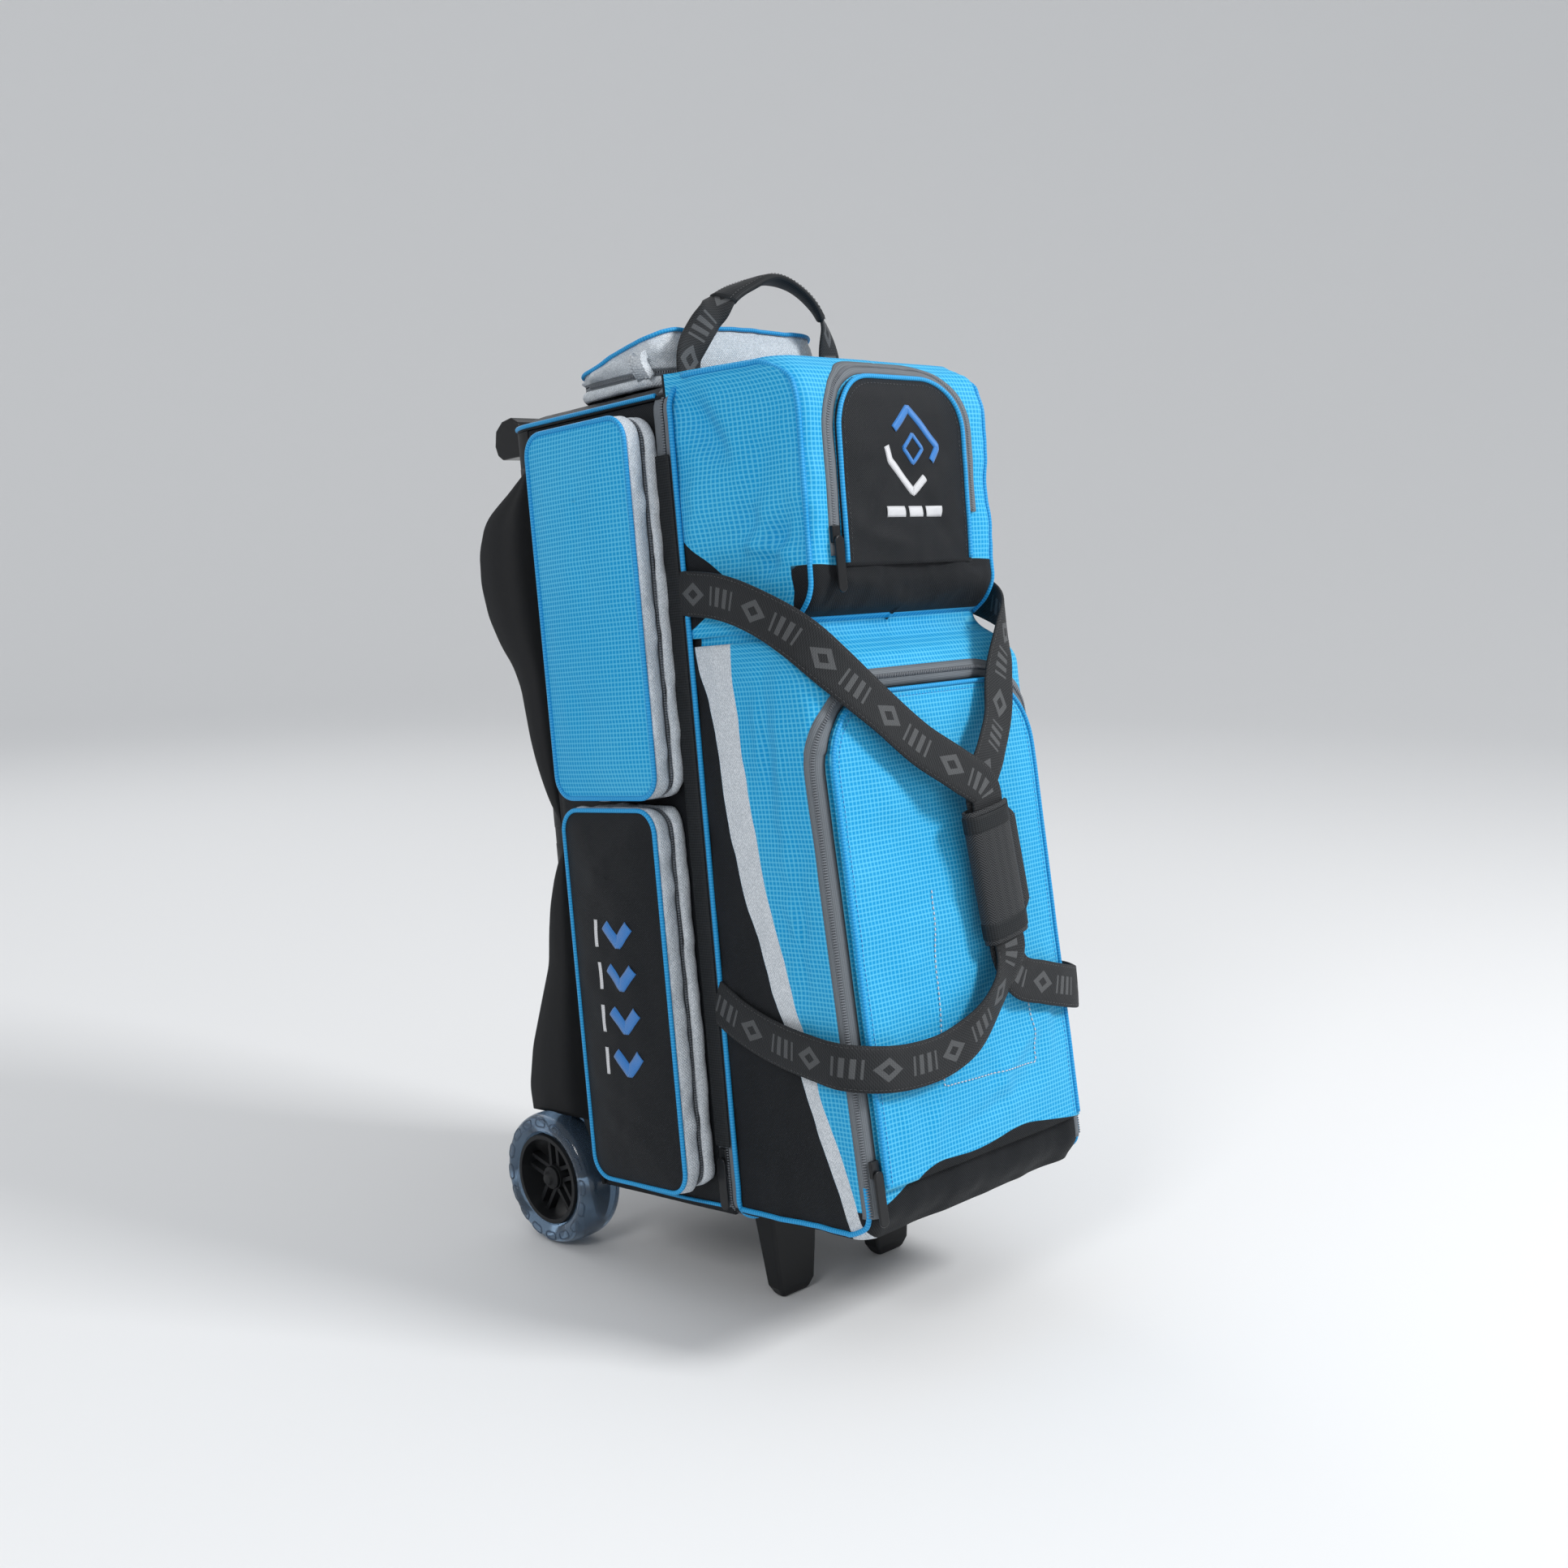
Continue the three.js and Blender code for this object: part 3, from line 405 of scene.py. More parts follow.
def buildHerringbone(start):
    u, v = clothLines(start)
    zigzag = (v + abs(u % 10.0 - 5.0)).wave(2.3)
    colour = start.mix(zigzag, solid((0.008, 0.009, 0.010)), solid((0.050, 0.053, 0.057)))
    return {"Base Color": colour, "Roughness": 0.7 - zigzag * 0.15, "Specular IOR Level": 0.22,
            "Sheen Weight": 0.03, "bump": (zigzag, 0.0003)}


def buildPiping(start):
    v = clothLines(start)[1]
    ticks = (v.wave(2.6) * 1.7 - 0.8).clamped() * 0.5
    colour = start.mix(ticks, solid((0.004, 0.26, 0.60)), solid((0.12, 0.58, 0.85)))
    return {"Base Color": colour, "Roughness": 0.5 - ticks * 0.1, "Specular IOR Level": 0.3,
            "bump": (ticks, 0.0001)}


def plasticLook(colour, rough, grain, depth):
    def build(start):
        fine = roughPatch(start, grain, 3.0)
        wear = roughPatch(start, 14.0)
        tone = start.mix(wear, solid(colour), solid(tuple(c * 1.7 for c in colour)))
        return {"Base Color": tone, "Roughness": wear * 0.16 + (rough - 0.08), "Specular IOR Level": 0.3,
                "bump": (fine, depth)}
    return build


def metalLook(colour, rough, stretch):
    def build(start):
        spot = start.node("ShaderNodeTexCoord", None, None, 3)
        drawn = start.node("ShaderNodeVectorMath", {"operation": "MULTIPLY"}, {0: spot, 1: stretch})
        lines = start.node("ShaderNodeTexNoise", None, {"Vector": drawn, "Scale": 1.0, "Detail": 2.0})
        tone = start.mix(lines, solid(tuple(c * 0.8 for c in colour)), solid(colour))
        return {"Base Color": tone, "Metallic": 0.92, "Roughness": lines * 0.18 + (rough - 0.08),
                "bump": (lines, 0.00004)}
    return build


def buildTyre(start):
    cloud = roughPatch(start, 30.0)
    tone = start.mix(cloud, solid((0.12, 0.20, 0.31)), solid((0.26, 0.38, 0.52)))
    return {"Base Color": tone, "Roughness": cloud * 0.1 + 0.06, "Transmission Weight": 0.88, "IOR": 1.42,
            "bump": (cloud, 0.0001)}


def buildThread(colour):
    def build(start):
        u, v = clothLines(start)
        strand = (u + v * 0.35).wave(1.1)
        tone = start.mix(strand, solid(tuple(c * 0.6 for c in colour)), solid(colour))
        return {"Base Color": tone, "Roughness": 0.42 - strand * 0.12, "Sheen Weight": 0.3,
                "bump": (strand, 0.0002)}
    return build


finishes = {name: makeFinish(name, build) for name, build in {
    "coverCloth": buildCover,
    "blueCheck": buildCheck,
    "blackNylon": buildBlack,
    "silverCloth": buildSilver,
    "zipTape": buildTape,
    "webbing": buildWebbing,
    "wovenBand": buildBand,
    "herringbone": buildHerringbone,
    "bluePiping": buildPiping,
    "lining": plasticLook((0.018, 0.019, 0.021), 0.85, 900.0, 0.0001),
    "foam": plasticLook((0.030, 0.031, 0.034), 0.95, 500.0, 0.0004),
    "blackPlastic": plasticLook((0.0060, 0.0066, 0.0076), 0.52, 1500.0, 0.00006),
    "skidPlastic": plasticLook((0.0050, 0.0055, 0.0065), 0.60, 900.0, 0.0001),
    "glossPlastic": plasticLook((0.0060, 0.0062, 0.0070), 0.24, 300.0, 0.00002),
    "coilPlastic": plasticLook((0.13, 0.14, 0.155), 0.42, 600.0, 0.00002),
    "zipMetal": plasticLook((0.0075, 0.0080, 0.0090), 0.30, 500.0, 0.00003),
    "clearTyre": buildTyre,
    "tubeAluminium": metalLook((0.62, 0.63, 0.65), 0.30, (900.0, 900.0, 14.0)),
    "axleSteel": metalLook((0.36, 0.36, 0.37), 0.34, (14.0, 900.0, 900.0)),
    "whiteThread": buildThread((0.80, 0.81, 0.84)),
    "blueThread": buildThread((0.010, 0.22, 0.68)),
    "blackThread": buildThread((0.020, 0.022, 0.025)),
}.items()}
slotFinish = {
    "black_plastic": "blackPlastic", "gloss_plastic": "glossPlastic", "clear_tyre": "clearTyre",
    "axle_steel": "axleSteel", "handle_aluminium": "tubeAluminium", "padding": "foam",
    "black_fabric": "lining", "silver_fabric": "lining", "blue_check": "lining", "webbing": "lining",
    "zip_metal": "zipMetal",
}
for subpart in frame["record"]["subparts"]:
    cadNode = frame["nodes"][subpart["node"]]
    paint = finishes[slotFinish[subpart["material_slot"]]]
    if not cadNode.material_slots:
        cadNode.data.materials.append(paint)
    for place in cadNode.material_slots:
        place.link = "OBJECT"
        place.material = paint
print("finishes ready:", len(finishes))


def addMesh(name, points, faces, finish, body, slot, uv=None, zones=None, behind=None, second=None):
    points = np.asarray(points, float)
    mesh = bpy.data.meshes.new(name)
    mesh.from_pydata(toRow(points).tolist(), [], faces)
    mesh.validate()
    mesh.materials.append(finishes[finish])
    if second:
        mesh.materials.append(finishes[second])
    if uv is not None:
        index = np.empty(len(mesh.loops), int)
        mesh.loops.foreach_get("vertex_index", index)
        layer = mesh.uv_layers.new(name="cloth")
        layer.data.foreach_set("uv", (np.asarray(uv, float)[index] / 1000).ravel())
    for zoneName, distances in (zones or {}).items():
        attribute = mesh.attributes.new(zoneName, "FLOAT", "POINT")
        attribute.data.foreach_set("value", np.asarray(distances, np.float32))
    if behind is not None:
        middle = Vector(toRow(behind))
        total = sum((p.center - middle).dot(p.normal) * p.area for p in mesh.polygons)
        if total < 0:
            mesh.flip_normals()
    mesh.polygons.foreach_set("use_smooth", np.ones(len(mesh.polygons), bool))
    piece = bpy.data.objects.new(name, mesh)
    bpy.context.scene.collection.objects.link(piece)
    if body:
        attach(piece, body)
    return piece


def thicken(piece, thickness, offset=-1.0, inner=0):
    wall = piece.modifiers.new("wall", "SOLIDIFY")
    wall.thickness = thickness / 1000
    wall.offset = offset
    wall.material_offset = inner
    return piece


def bakeModifiers(piece):
    bpy.context.view_layer.update()
    baked = bpy.data.meshes.new_from_object(piece.evaluated_get(bpy.context.evaluated_depsgraph_get()))
    piece.modifiers.clear()
    piece.data = baked
    return piece


def gridFaces(rows, columns, wrap=False):
    row = np.arange(rows - 1)[:, None] * columns
    column = np.arange(columns if wrap else columns - 1)[None, :]
    a = row + column
    b = row + (column + 1) % columns
    return np.stack([a, b, b + columns, a + columns], -1).reshape(-1, 4).tolist()


def rowsBetween(bottom, top, step):
    return np.linspace(bottom, top, int(round((top - bottom) / step)) + 1)


def softNoise(u, v, seed):
    table = np.random.default_rng(seed).uniform(-1, 1, (64, 64))
    lowU, lowV = np.floor(u).astype(int), np.floor(v).astype(int)
    shareU, shareV = [t * t * t * (t * (t * 6 - 15) + 10) for t in (u - lowU, v - lowV)]
    corner = lambda a, b: table[a % 64, b % 64]
    near = corner(lowU, lowV) * (1 - shareU) + corner(lowU + 1, lowV) * shareU
    far = corner(lowU, lowV + 1) * (1 - shareU) + corner(lowU + 1, lowV + 1) * shareU
    return near * (1 - shareV) + far * shareV


def crumple(u, v, size, seed):
    fine = softNoise(u / size * 2.3, v / size * 2.3, seed + 1)
    return softNoise(u / size, v / size, seed) * 0.7 + fine * 0.3


def ridges(u, v, folds):
    # Each fold runs from one point to another, with a width and a height (negative for a dent).
    total = np.zeros(np.broadcast(u, v).shape)
    for (u0, v0), (u1, v1), width, height in folds:
        du, dv = u1 - u0, v1 - v0
        along = ((u - u0) * du + (v - v0) * dv) / (du * du + dv * dv)
        clipped = np.clip(along, 0, 1)
        gapU, gapV = u - (u0 + clipped * du), v - (v0 + clipped * dv)
        total = total + height * np.exp(-(gapU ** 2 + gapV ** 2) / width ** 2) * (0.35 + 0.65 * np.sin(
            np.pi * np.clip(along, 0, 1)))
    return total


def smoothRoute(stops, step, closed=False):
    # A centripetal curve through the stops, resampled at an even step.
    stops = np.asarray(stops, float)
    if closed:
        padded = np.vstack([stops[-1], stops, stops[:2]])
    else:
        padded = np.vstack([2 * stops[0] - stops[1], stops, 2 * stops[-1] - stops[-2]])
    dense = []
    for p0, p1, p2, p3 in zip(padded, padded[1:], padded[2:], padded[3:]):
        reach = lambda a, b: max(np.linalg.norm((b - a)[:3]), 1e-6) ** 0.5
        t0, t1 = 0.0, reach(p0, p1)
        t2 = t1 + reach(p1, p2)
        t3 = t2 + reach(p2, p3)
        t = np.linspace(t1, t2, 24, endpoint=False)[:, None]
        a1 = (t1 - t) / (t1 - t0) * p0 + (t - t0) / (t1 - t0) * p1
        a2 = (t2 - t) / (t2 - t1) * p1 + (t - t1) / (t2 - t1) * p2
        a3 = (t3 - t) / (t3 - t2) * p2 + (t - t2) / (t3 - t2) * p3
        b1 = (t2 - t) / (t2 - t0) * a1 + (t - t0) / (t2 - t0) * a2
        b2 = (t3 - t) / (t3 - t1) * a2 + (t - t1) / (t3 - t1) * a3
        dense.append((t2 - t) / (t2 - t1) * b1 + (t - t1) / (t2 - t1) * b2)
    dense = np.vstack(dense + [padded[-2][None]])
    return evenRoute(dense, step, closed)


def evenRoute(dense, step, closed=False):
    dense = np.asarray(dense, float)
    lengths = np.concatenate([[0], np.cumsum(np.linalg.norm(np.diff(dense[:, :3], axis=0), axis=1))])
    count = max(int(round(lengths[-1] / step)), 2)
    marks = np.linspace(0, lengths[-1], count + 1)
    if closed:
        marks = marks[:-1]
    return np.stack([np.interp(marks, lengths, dense[:, k]) for k in range(dense.shape[1])], 1)


def unit(vectors):
    return vectors / np.maximum(np.linalg.norm(vectors, axis=-1, keepdims=True), 1e-9)


def sweep(route, facing, profile, closed=False):
    # A closed profile in (across, out) carried along the route. Returns points, faces and cloth coordinates.
    route, profile = np.asarray(route, float), np.asarray(profile, float)
    if closed:
        tangent = unit(np.roll(route, -1, 0) - np.roll(route, 1, 0))
    else:
        tangent = unit(np.gradient(route, axis=0))
    facing = np.broadcast_to(np.asarray(facing, float), route.shape)
    across = unit(np.cross(facing, tangent))
    out = unit(np.cross(tangent, across))
    points = route[:, None] + across[:, None] * profile[None, :, :1] + out[:, None] * profile[None, :, 1:]
    rows, columns = points.shape[:2]
    steps = np.linalg.norm(np.diff(route, axis=0), axis=1)
    along = np.concatenate([[0], np.cumsum(steps)])
    uv = np.stack([np.broadcast_to(profile[None, :, 0], (rows, columns)),
                   np.broadcast_to(along[:, None], (rows, columns))], -1)
    faces = gridFaces(rows, columns, True)
    if closed:
        last = (rows - 1) * columns
        faces += [[last + i, last + (i + 1) % columns, (i + 1) % columns, i] for i in range(columns)]
    else:
        faces += [list(range(columns))[::-1], [(rows - 1) * columns + i for i in range(columns)]]
    return points.reshape(-1, 3), faces, uv.reshape(-1, 2)


def recalculated(piece):
    shape = bmesh.new()
    shape.from_mesh(piece.data)
    bmesh.ops.recalc_face_normals(shape, faces=shape.faces)
    shape.to_mesh(piece.data)
    shape.free()
    return piece


def circleProfile(radius, count=8, flat=1.0):
    angles = np.arange(count) / count * 2 * math.pi
    return np.stack([radius * np.cos(angles), radius * flat * np.sin(angles)], 1)


def bandProfile(width, thickness, crown=0.0):
    half, rim = width / 2, thickness / 2
    across = np.linspace(-half + rim * 0.6, half - rim * 0.6, 7)
    lift = crown * (1 - (across / half) ** 2)
    upper = np.stack([across, rim + lift], 1)
    lower = np.stack([across[::-1], -rim + lift[::-1]], 1)
    return np.vstack([lower, [[-half, 0]], upper, [[half, 0]]])


def addSweep(name, route, facing, profile, finish, body, slot, closed=False):
    points, faces, uv = sweep(route, facing, profile, closed)
    return recalculated(addMesh(name, points, faces, finish, body, slot, uv))


def addPiping(name, route, facing, body, radius=2.1, finish="bluePiping", slot="blue_check", closed=False):
    return addSweep(name, route, facing, circleProfile(radius), finish, body, slot, closed)


# Geometry nodes carry a small rounded shape along a path: zip teeth, stitches and ribs.
def makeRepeatTree():
    tree = bpy.data.node_groups.new("repeatAlong", "GeometryNodeTree")
    face = tree.interface
    face.new_socket("Path", in_out="INPUT", socket_type="NodeSocketGeometry")
    for socketName, kind, default in (("Spacing", "NodeSocketFloat", 0.002),
                                      ("Size", "NodeSocketVector", None),
                                      ("Finish", "NodeSocketMaterial", None)):
        made = face.new_socket(socketName, in_out="INPUT", socket_type=kind)
        if default is not None:
            made.default_value = default
    face.new_socket("Pieces", in_out="OUTPUT", socket_type="NodeSocketGeometry")

    def new(kind, **settings):
        made = tree.nodes.new(kind)
        for key, setting in settings.items():
            setattr(made, key, setting)
        return made

    source = new("NodeGroupInput")
    curve = new("GeometryNodeMeshToCurve")
    even = new("GeometryNodeResampleCurve", mode="LENGTH")
    bead = new("GeometryNodeMeshUVSphere")
    bead.inputs["Segments"].default_value = 6
    bead.inputs["Rings"].default_value = 4
    bead.inputs["Radius"].default_value = 0.5
    tangent = new("GeometryNodeInputTangent")
    facing = new("GeometryNodeInputNamedAttribute", data_type="FLOAT_VECTOR")
    facing.inputs["Name"].default_value = "facing"
    turnX = new("FunctionNodeAlignRotationToVector", axis="X")
    turnZ = new("FunctionNodeAlignRotationToVector", axis="Z", pivot_axis="X")
    place = new("GeometryNodeInstanceOnPoints")
    real = new("GeometryNodeRealizeInstances")
    paint = new("GeometryNodeSetMaterial")
    result = new("NodeGroupOutput")
    link = tree.links.new
    link(source.outputs["Path"], curve.inputs[0])
    link(curve.outputs[0], even.inputs["Curve"])
    link(source.outputs["Spacing"], even.inputs["Length"])
    link(tangent.outputs[0], turnX.inputs["Vector"])
    link(turnX.outputs[0], turnZ.inputs["Rotation"])
    link(facing.outputs["Attribute"], turnZ.inputs["Vector"])
    link(even.outputs[0], place.inputs["Points"])
    link(bead.outputs["Mesh"], place.inputs["Instance"])
    link(turnZ.outputs[0], place.inputs["Rotation"])
    link(source.outputs["Size"], place.inputs["Scale"])
    link(place.outputs[0], real.inputs[0])
    link(real.outputs[0], paint.inputs["Geometry"])
    link(source.outputs["Finish"], paint.inputs["Material"])
    link(paint.outputs[0], result.inputs[0])
    return tree


repeatTree = makeRepeatTree()


def repeatAlong(name, routes, facings, spacing, size, finish, body, slot):
    # Each route is a path of its own, and size is along, across and out, in millimetres.
    points = np.vstack(routes)
    directions = np.vstack([np.broadcast_to(np.asarray(f, float), r.shape) for r, f in zip(routes, facings)])
    edges, first = [], 0
    for route in routes:
        edges += [(first + i, first + i + 1) for i in range(len(route) - 1)]
        first += len(route)
    mesh = bpy.data.meshes.new(name + "Path")
    mesh.from_pydata(toRow(points).tolist(), edges, [])
    attribute = mesh.attributes.new("facing", "FLOAT_VECTOR", "POINT")
    attribute.data.foreach_set("vector", unit(directions @ bagAxes).astype(np.float32).ravel())
    holder = bpy.data.objects.new(name + "Path", mesh)
    bpy.context.scene.collection.objects.link(holder)
    modifier = holder.modifiers.new("repeat", "NODES")
    modifier.node_group = repeatTree
    sockets = {item.name: item.identifier for item in repeatTree.interface.items_tree
               if item.in_out == "INPUT"}
    modifier[sockets["Spacing"]] = spacing / 1000
    modifier[sockets["Size"]] = [s / 1000 for s in size]
    modifier[sockets["Finish"]] = finishes[finish]
    bpy.context.view_layer.update()
    baked = bpy.data.meshes.new_from_object(holder.evaluated_get(bpy.context.evaluated_depsgraph_get()))
    bpy.data.objects.remove(holder)
    if not baked.materials:
        baked.materials.append(finishes[finish])
    layer = baked.uv_layers.get("cloth") or baked.uv_layers.new(name="cloth")
    places = np.empty(len(baked.vertices) * 3)
    baked.vertices.foreach_get("co", places)
    index = np.empty(len(baked.loops), int)
    baked.loops.foreach_get("vertex_index", index)
    layer.data.foreach_set("uv", places.reshape(-1, 3)[index][:, [0, 2]].ravel())
    baked.polygons.foreach_set("use_smooth", np.ones(len(baked.polygons), bool))
    piece = bpy.data.objects.new(name, baked)
    bpy.context.scene.collection.objects.link(piece)
    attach(piece, body)
    return piece


def refine(nodeName, finish, bevel, segments=2):
    # A moulded piece: the frame's own shape with merged faces and rounded edges.
    source = frame["nodes"][nodeName]
    mesh = source.data.copy()
    shape = bmesh.new()
    shape.from_mesh(mesh)
    bmesh.ops.remove_doubles(shape, verts=shape.verts, dist=2e-6)
    bmesh.ops.dissolve_limit(shape, angle_limit=math.radians(1.5), verts=shape.verts, edges=shape.edges)
    shape.to_mesh(mesh)
    shape.free()
    mesh.materials.clear()
    mesh.materials.append(finishes[finish])
    mesh.polygons.foreach_set("use_smooth", np.ones(len(mesh.polygons), bool))
    mesh.set_sharp_from_angle(angle=math.radians(38))
    piece = bpy.data.objects.new(nodeName + "Moulded", mesh)
    bpy.context.scene.collection.objects.link(piece)
    rounding = piece.modifiers.new("rounding", "BEVEL")
    rounding.width = bevel / 1000
    rounding.segments = segments
    rounding.limit_method = "ANGLE"
    rounding.angle_limit = math.radians(32)
    rounding.harden_normals = True
    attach(piece, source["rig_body"])
    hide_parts(nodeName)
    return piece


# Moulded plastic pieces keep their shapes and get rounded edges.
moulded = {
    "base_tray": ("blackPlastic", 1.2), "back_shell": ("skidPlastic", 1.0),
    "wheel_well_left": ("blackPlastic", 0.8), "wheel_well_right": ("blackPlastic", 0.8),
    "axle_bracket_left": ("blackPlastic", 1.5), "axle_bracket_right": ("blackPlastic", 1.5),
    "ball_cup_lower": ("foam", 2.5), "ball_shelf_middle": ("foam", 2.5), "ball_shelf_upper": ("foam", 2.5),
    "foot_left": ("blackPlastic", 3.5), "foot_right": ("blackPlastic", 3.5),
    "handle_cover": ("blackPlastic", 1.0), "handle_grip": ("glossPlastic", 2.2),
    "release_button": ("glossPlastic", 0.8),
    "wheel_hub_left": ("blackPlastic", 0.7), "wheel_hub_right": ("blackPlastic", 0.7),
    "hub_cap_left": ("blackPlastic", 0.6), "hub_cap_right": ("blackPlastic", 0.6),
}
for nodeName, (finish, bevel) in moulded.items():
    refine(nodeName, finish, bevel)
for nodeName in [f"{zipName}_zip_{part}" for zipName in ("main", "upper", "lower")
                 for part in ("slider", "pull")]:
    refine(nodeName, "zipMetal", 0.9)


# Skids down the back corners: how far each stands behind the shell at each height.
skids = {
    "inner": 99.5, "arch": 68.5,
    "kick_skid": [(336, -40), (346, -32), (362, -22), (380, -14), (400, -7), (420, -2), (440, 1), (468, 5),
                  (489, 14), (509, 30), (537, 45), (568, 52), (598, 50), (624, 37), (636, 20), (644, 2),
                  (656, -18), (664, -32), (668, -40)],
    "wheel_fender": [(60, 50), (82, 52), (123, 41), (173, 18), (205, 3), (236, -2), (262, -8), (288, -18),
                     (308, -29), (320, -40)],
}


def makeSkid(kind, side, sign):
    heights, depths = zip(*skids[kind])
    across = np.concatenate([[0, 0.8, 2.6], np.linspace(6, 32, 6), [35.4, 37.3, 38.2]]) + skids["inner"]
    edge = np.array([3.2, 1.1, 0.2] + [0] * 6 + [0.3, 1.4, 3.8])
    corner = shell["corner"]
    straight, cornerY = shell["halfWidth"] - corner, shell["back"] - corner
    bodyY = cornerY + np.sqrt(corner ** 2 - np.maximum(across - straight, 0) ** 2) + 0.3
    rows = rowsBetween(heights[0], heights[-1], 3.6)
    rings = []
    for z in rows:
        behind = np.mean([np.interp(z + k, heights, depths) for k in (-6, -2, 2, 6)])
        outer = np.maximum(shell["back"] + behind - edge, bodyY + 0.5)
        ring = np.vstack([np.column_stack([across, outer]), np.column_stack([across, bodyY])[::-1]])
        reach = np.maximum(skids["arch"] ** 2 - (ring[:, 1] - axlePlace[1]) ** 2, 0)
        height = np.where(reach > 0, np.maximum(z, np.sqrt(reach) + axlePlace[2]), z)
        rings.append(np.column_stack([sign * ring[:, 0], ring[:, 1], height]))
    count = len(rings[0])
    faces = gridFaces(len(rings), count, True)
    faces += [list(range(count)), list(range((len(rings) - 1) * count, len(rings) * count))]
    points = np.vstack(rings)
    piece = recalculated(addMesh(f"{kind}Moulded.{side}", points, faces, "skidPlastic", "chassis",
                                 "black_plastic", points[:, 1:]))
    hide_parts(f"{kind}_{side}")


for side, sign in sides.items():
    makeSkid("kick_skid", side, sign)
    makeSkid("wheel_fender", side, sign)
print("moulded pieces ready")


# The cover of a compartment: rows of one plan outline, whose cloth lifts off by a rule of its own.
class Cover:
    def __init__(self, levels, backHalfWidth, lift):
        self.levels = np.array(levels, float)
        self.backHalfWidth = backHalfWidth
        self.lift = lift

    def sizes(self, z):
        spread = np.asarray(z, float)[..., None] + np.array([-7, -3.5, 0, 3.5, 7])
        return [np.interp(spread, self.levels[:, 0], self.levels[:, k]).mean(-1) for k in (1, 2, 3)]

    def sideStart(self, z):
        half, corner = self.sizes(z)[1:]
        return half - corner + corner * math.pi / 2

    def reach(self, z):
        front, half, corner = self.sizes(z)
        return self.sideStart(z) + np.hypot(self.backHalfWidth - half, seamY - 0.3 - front - corner)

    def at(self, s, z, lift=0.0):
        s, z = np.broadcast_arrays(np.asarray(s, float), np.asarray(z, float))
        front, half, corner = self.sizes(z)
        straight, sideStart, reach = half - corner, self.sideStart(z), self.reach(z)
        length, side = np.abs(s), np.where(s < 0, -1.0, 1.0)
        angle = np.clip((length - straight) / corner, 0, math.pi / 2)
        share = np.clip((length - sideStart) / (reach - sideStart), 0, 1)
        x = np.where(length < straight, length, straight + corner * np.sin(angle)) + share * (
            self.backHalfWidth - half)
        y = front + corner - corner * np.cos(angle) + share * (seamY - 0.3 - front - corner)
        fade = 1 - smoothStep(0.86, 1.0, share)
        height = self.lift(side * x, y, z) * fade + lift
        return np.stack([side * (x + np.sin(angle) * height), y - np.cos(angle) * height, z], -1)

    def facing(self, s, z):
        step = 0.8
        alongS = self.at(s + step, z) - self.at(s - step, z)
        alongZ = self.at(s, np.asarray(z, float) + step) - self.at(s, np.asarray(z, float) - step)
        return unit(np.cross(alongS, alongZ))

    def build(self, name, rowHeights, crown, zones, body, slot, opening=None, replaces=None,
              counts=(26, 7, 76)):
        sideCount, cornerCount, frontCount = counts
        rings, spots = [], []
        for z in rowHeights:
            half, corner = [float(size) for size in self.sizes(z)[1:]]
            straight, sideStart, reach = half - corner, float(self.sideStart(z)), float(self.reach(z))
            halfLine = np.concatenate([np.linspace(0, straight, frontCount // 2, endpoint=False),
                                       np.linspace(straight, sideStart, cornerCount, endpoint=False),
                                       np.linspace(sideStart, reach, sideCount)])
            s = np.concatenate([-halfLine[:0:-1], halfLine])
            ring = self.at(s, np.full(len(s), z))
            backX = np.linspace(self.backHalfWidth, -self.backHalfWidth, 22)[1:-1]
            backLine = np.stack([backX, np.full(20, seamY - 0.3), np.full(20, z)], 1)
            rings.append(np.vstack([ring, backLine]))
            spots.append(np.stack([np.concatenate([s, reach + self.backHalfWidth - backX]),
                                   np.full(len(s) + 20, z)], 1))
        count = len(rings[0])
        insets = [0.97, 0.9, 0.78, 0.6, 0.4, 0.2, 0.06]
        for end, sign in ((0, -1), (-1, 1)):
            edge, edgeSpots = rings[end].copy(), spots[end].copy()
            middle = edge.mean(0)
            extra, extraSpots = [], []
            for inset in insets:
                ring = middle + (edge - middle) * inset
                ring[:, 2] = edge[:, 2] + sign * crown * (1 - inset ** 2) + crumple(
                    ring[:, 0], ring[:, 1], 45, 7) * 1.6 * (1 - inset)
                extra.append(ring)
                extraSpots.append(np.stack([ring[:, 0], edgeSpots[:, 1] + sign * (edge[:, 1] - ring[:, 1])],
                                           1))
            rings = extra[::-1] + rings if end == 0 else rings + extra
            spots = extraSpots[::-1] + spots if end == 0 else spots + extraSpots
        points, uv = np.vstack(rings), np.vstack(spots)
        faces = gridFaces(len(rings), count, True)
        faces += [list(range(count))[::-1], [(len(rings) - 1) * count + i for i in range(count)]]
        if opening:
            centres = np.array([points[f].mean(0) if len(f) == 4 else (0, 0, 0) for f in faces])
            half = opening(centres[:, 2])
            inside = (np.abs(centres[:, 0]) < half) & (centres[:, 1] < -90)
            faces = [f for f, gone in zip(faces, inside) if not gone]
        piece = addMesh(name, points, faces, "coverCloth", body, slot, uv, zones(points),
                        behind=points.mean(0), second="lining")
        thicken(piece, 2.2, inner=1)
        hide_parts(*replaces)
        return piece


def archHalfWidth(arch, inset=0.0):
    half, bottom = arch["halfWidth"] - inset, arch["bottom"] + inset
    top, corner = arch["top"] - inset, arch["corner"] - inset

    def width(z):
        over = np.clip(z - (top - corner), 0, corner)
        inside = half - corner + np.sqrt(np.maximum(corner ** 2 - over ** 2, 0))
        return np.where((z < bottom) | (z > top), -1.0, inside)
    return width


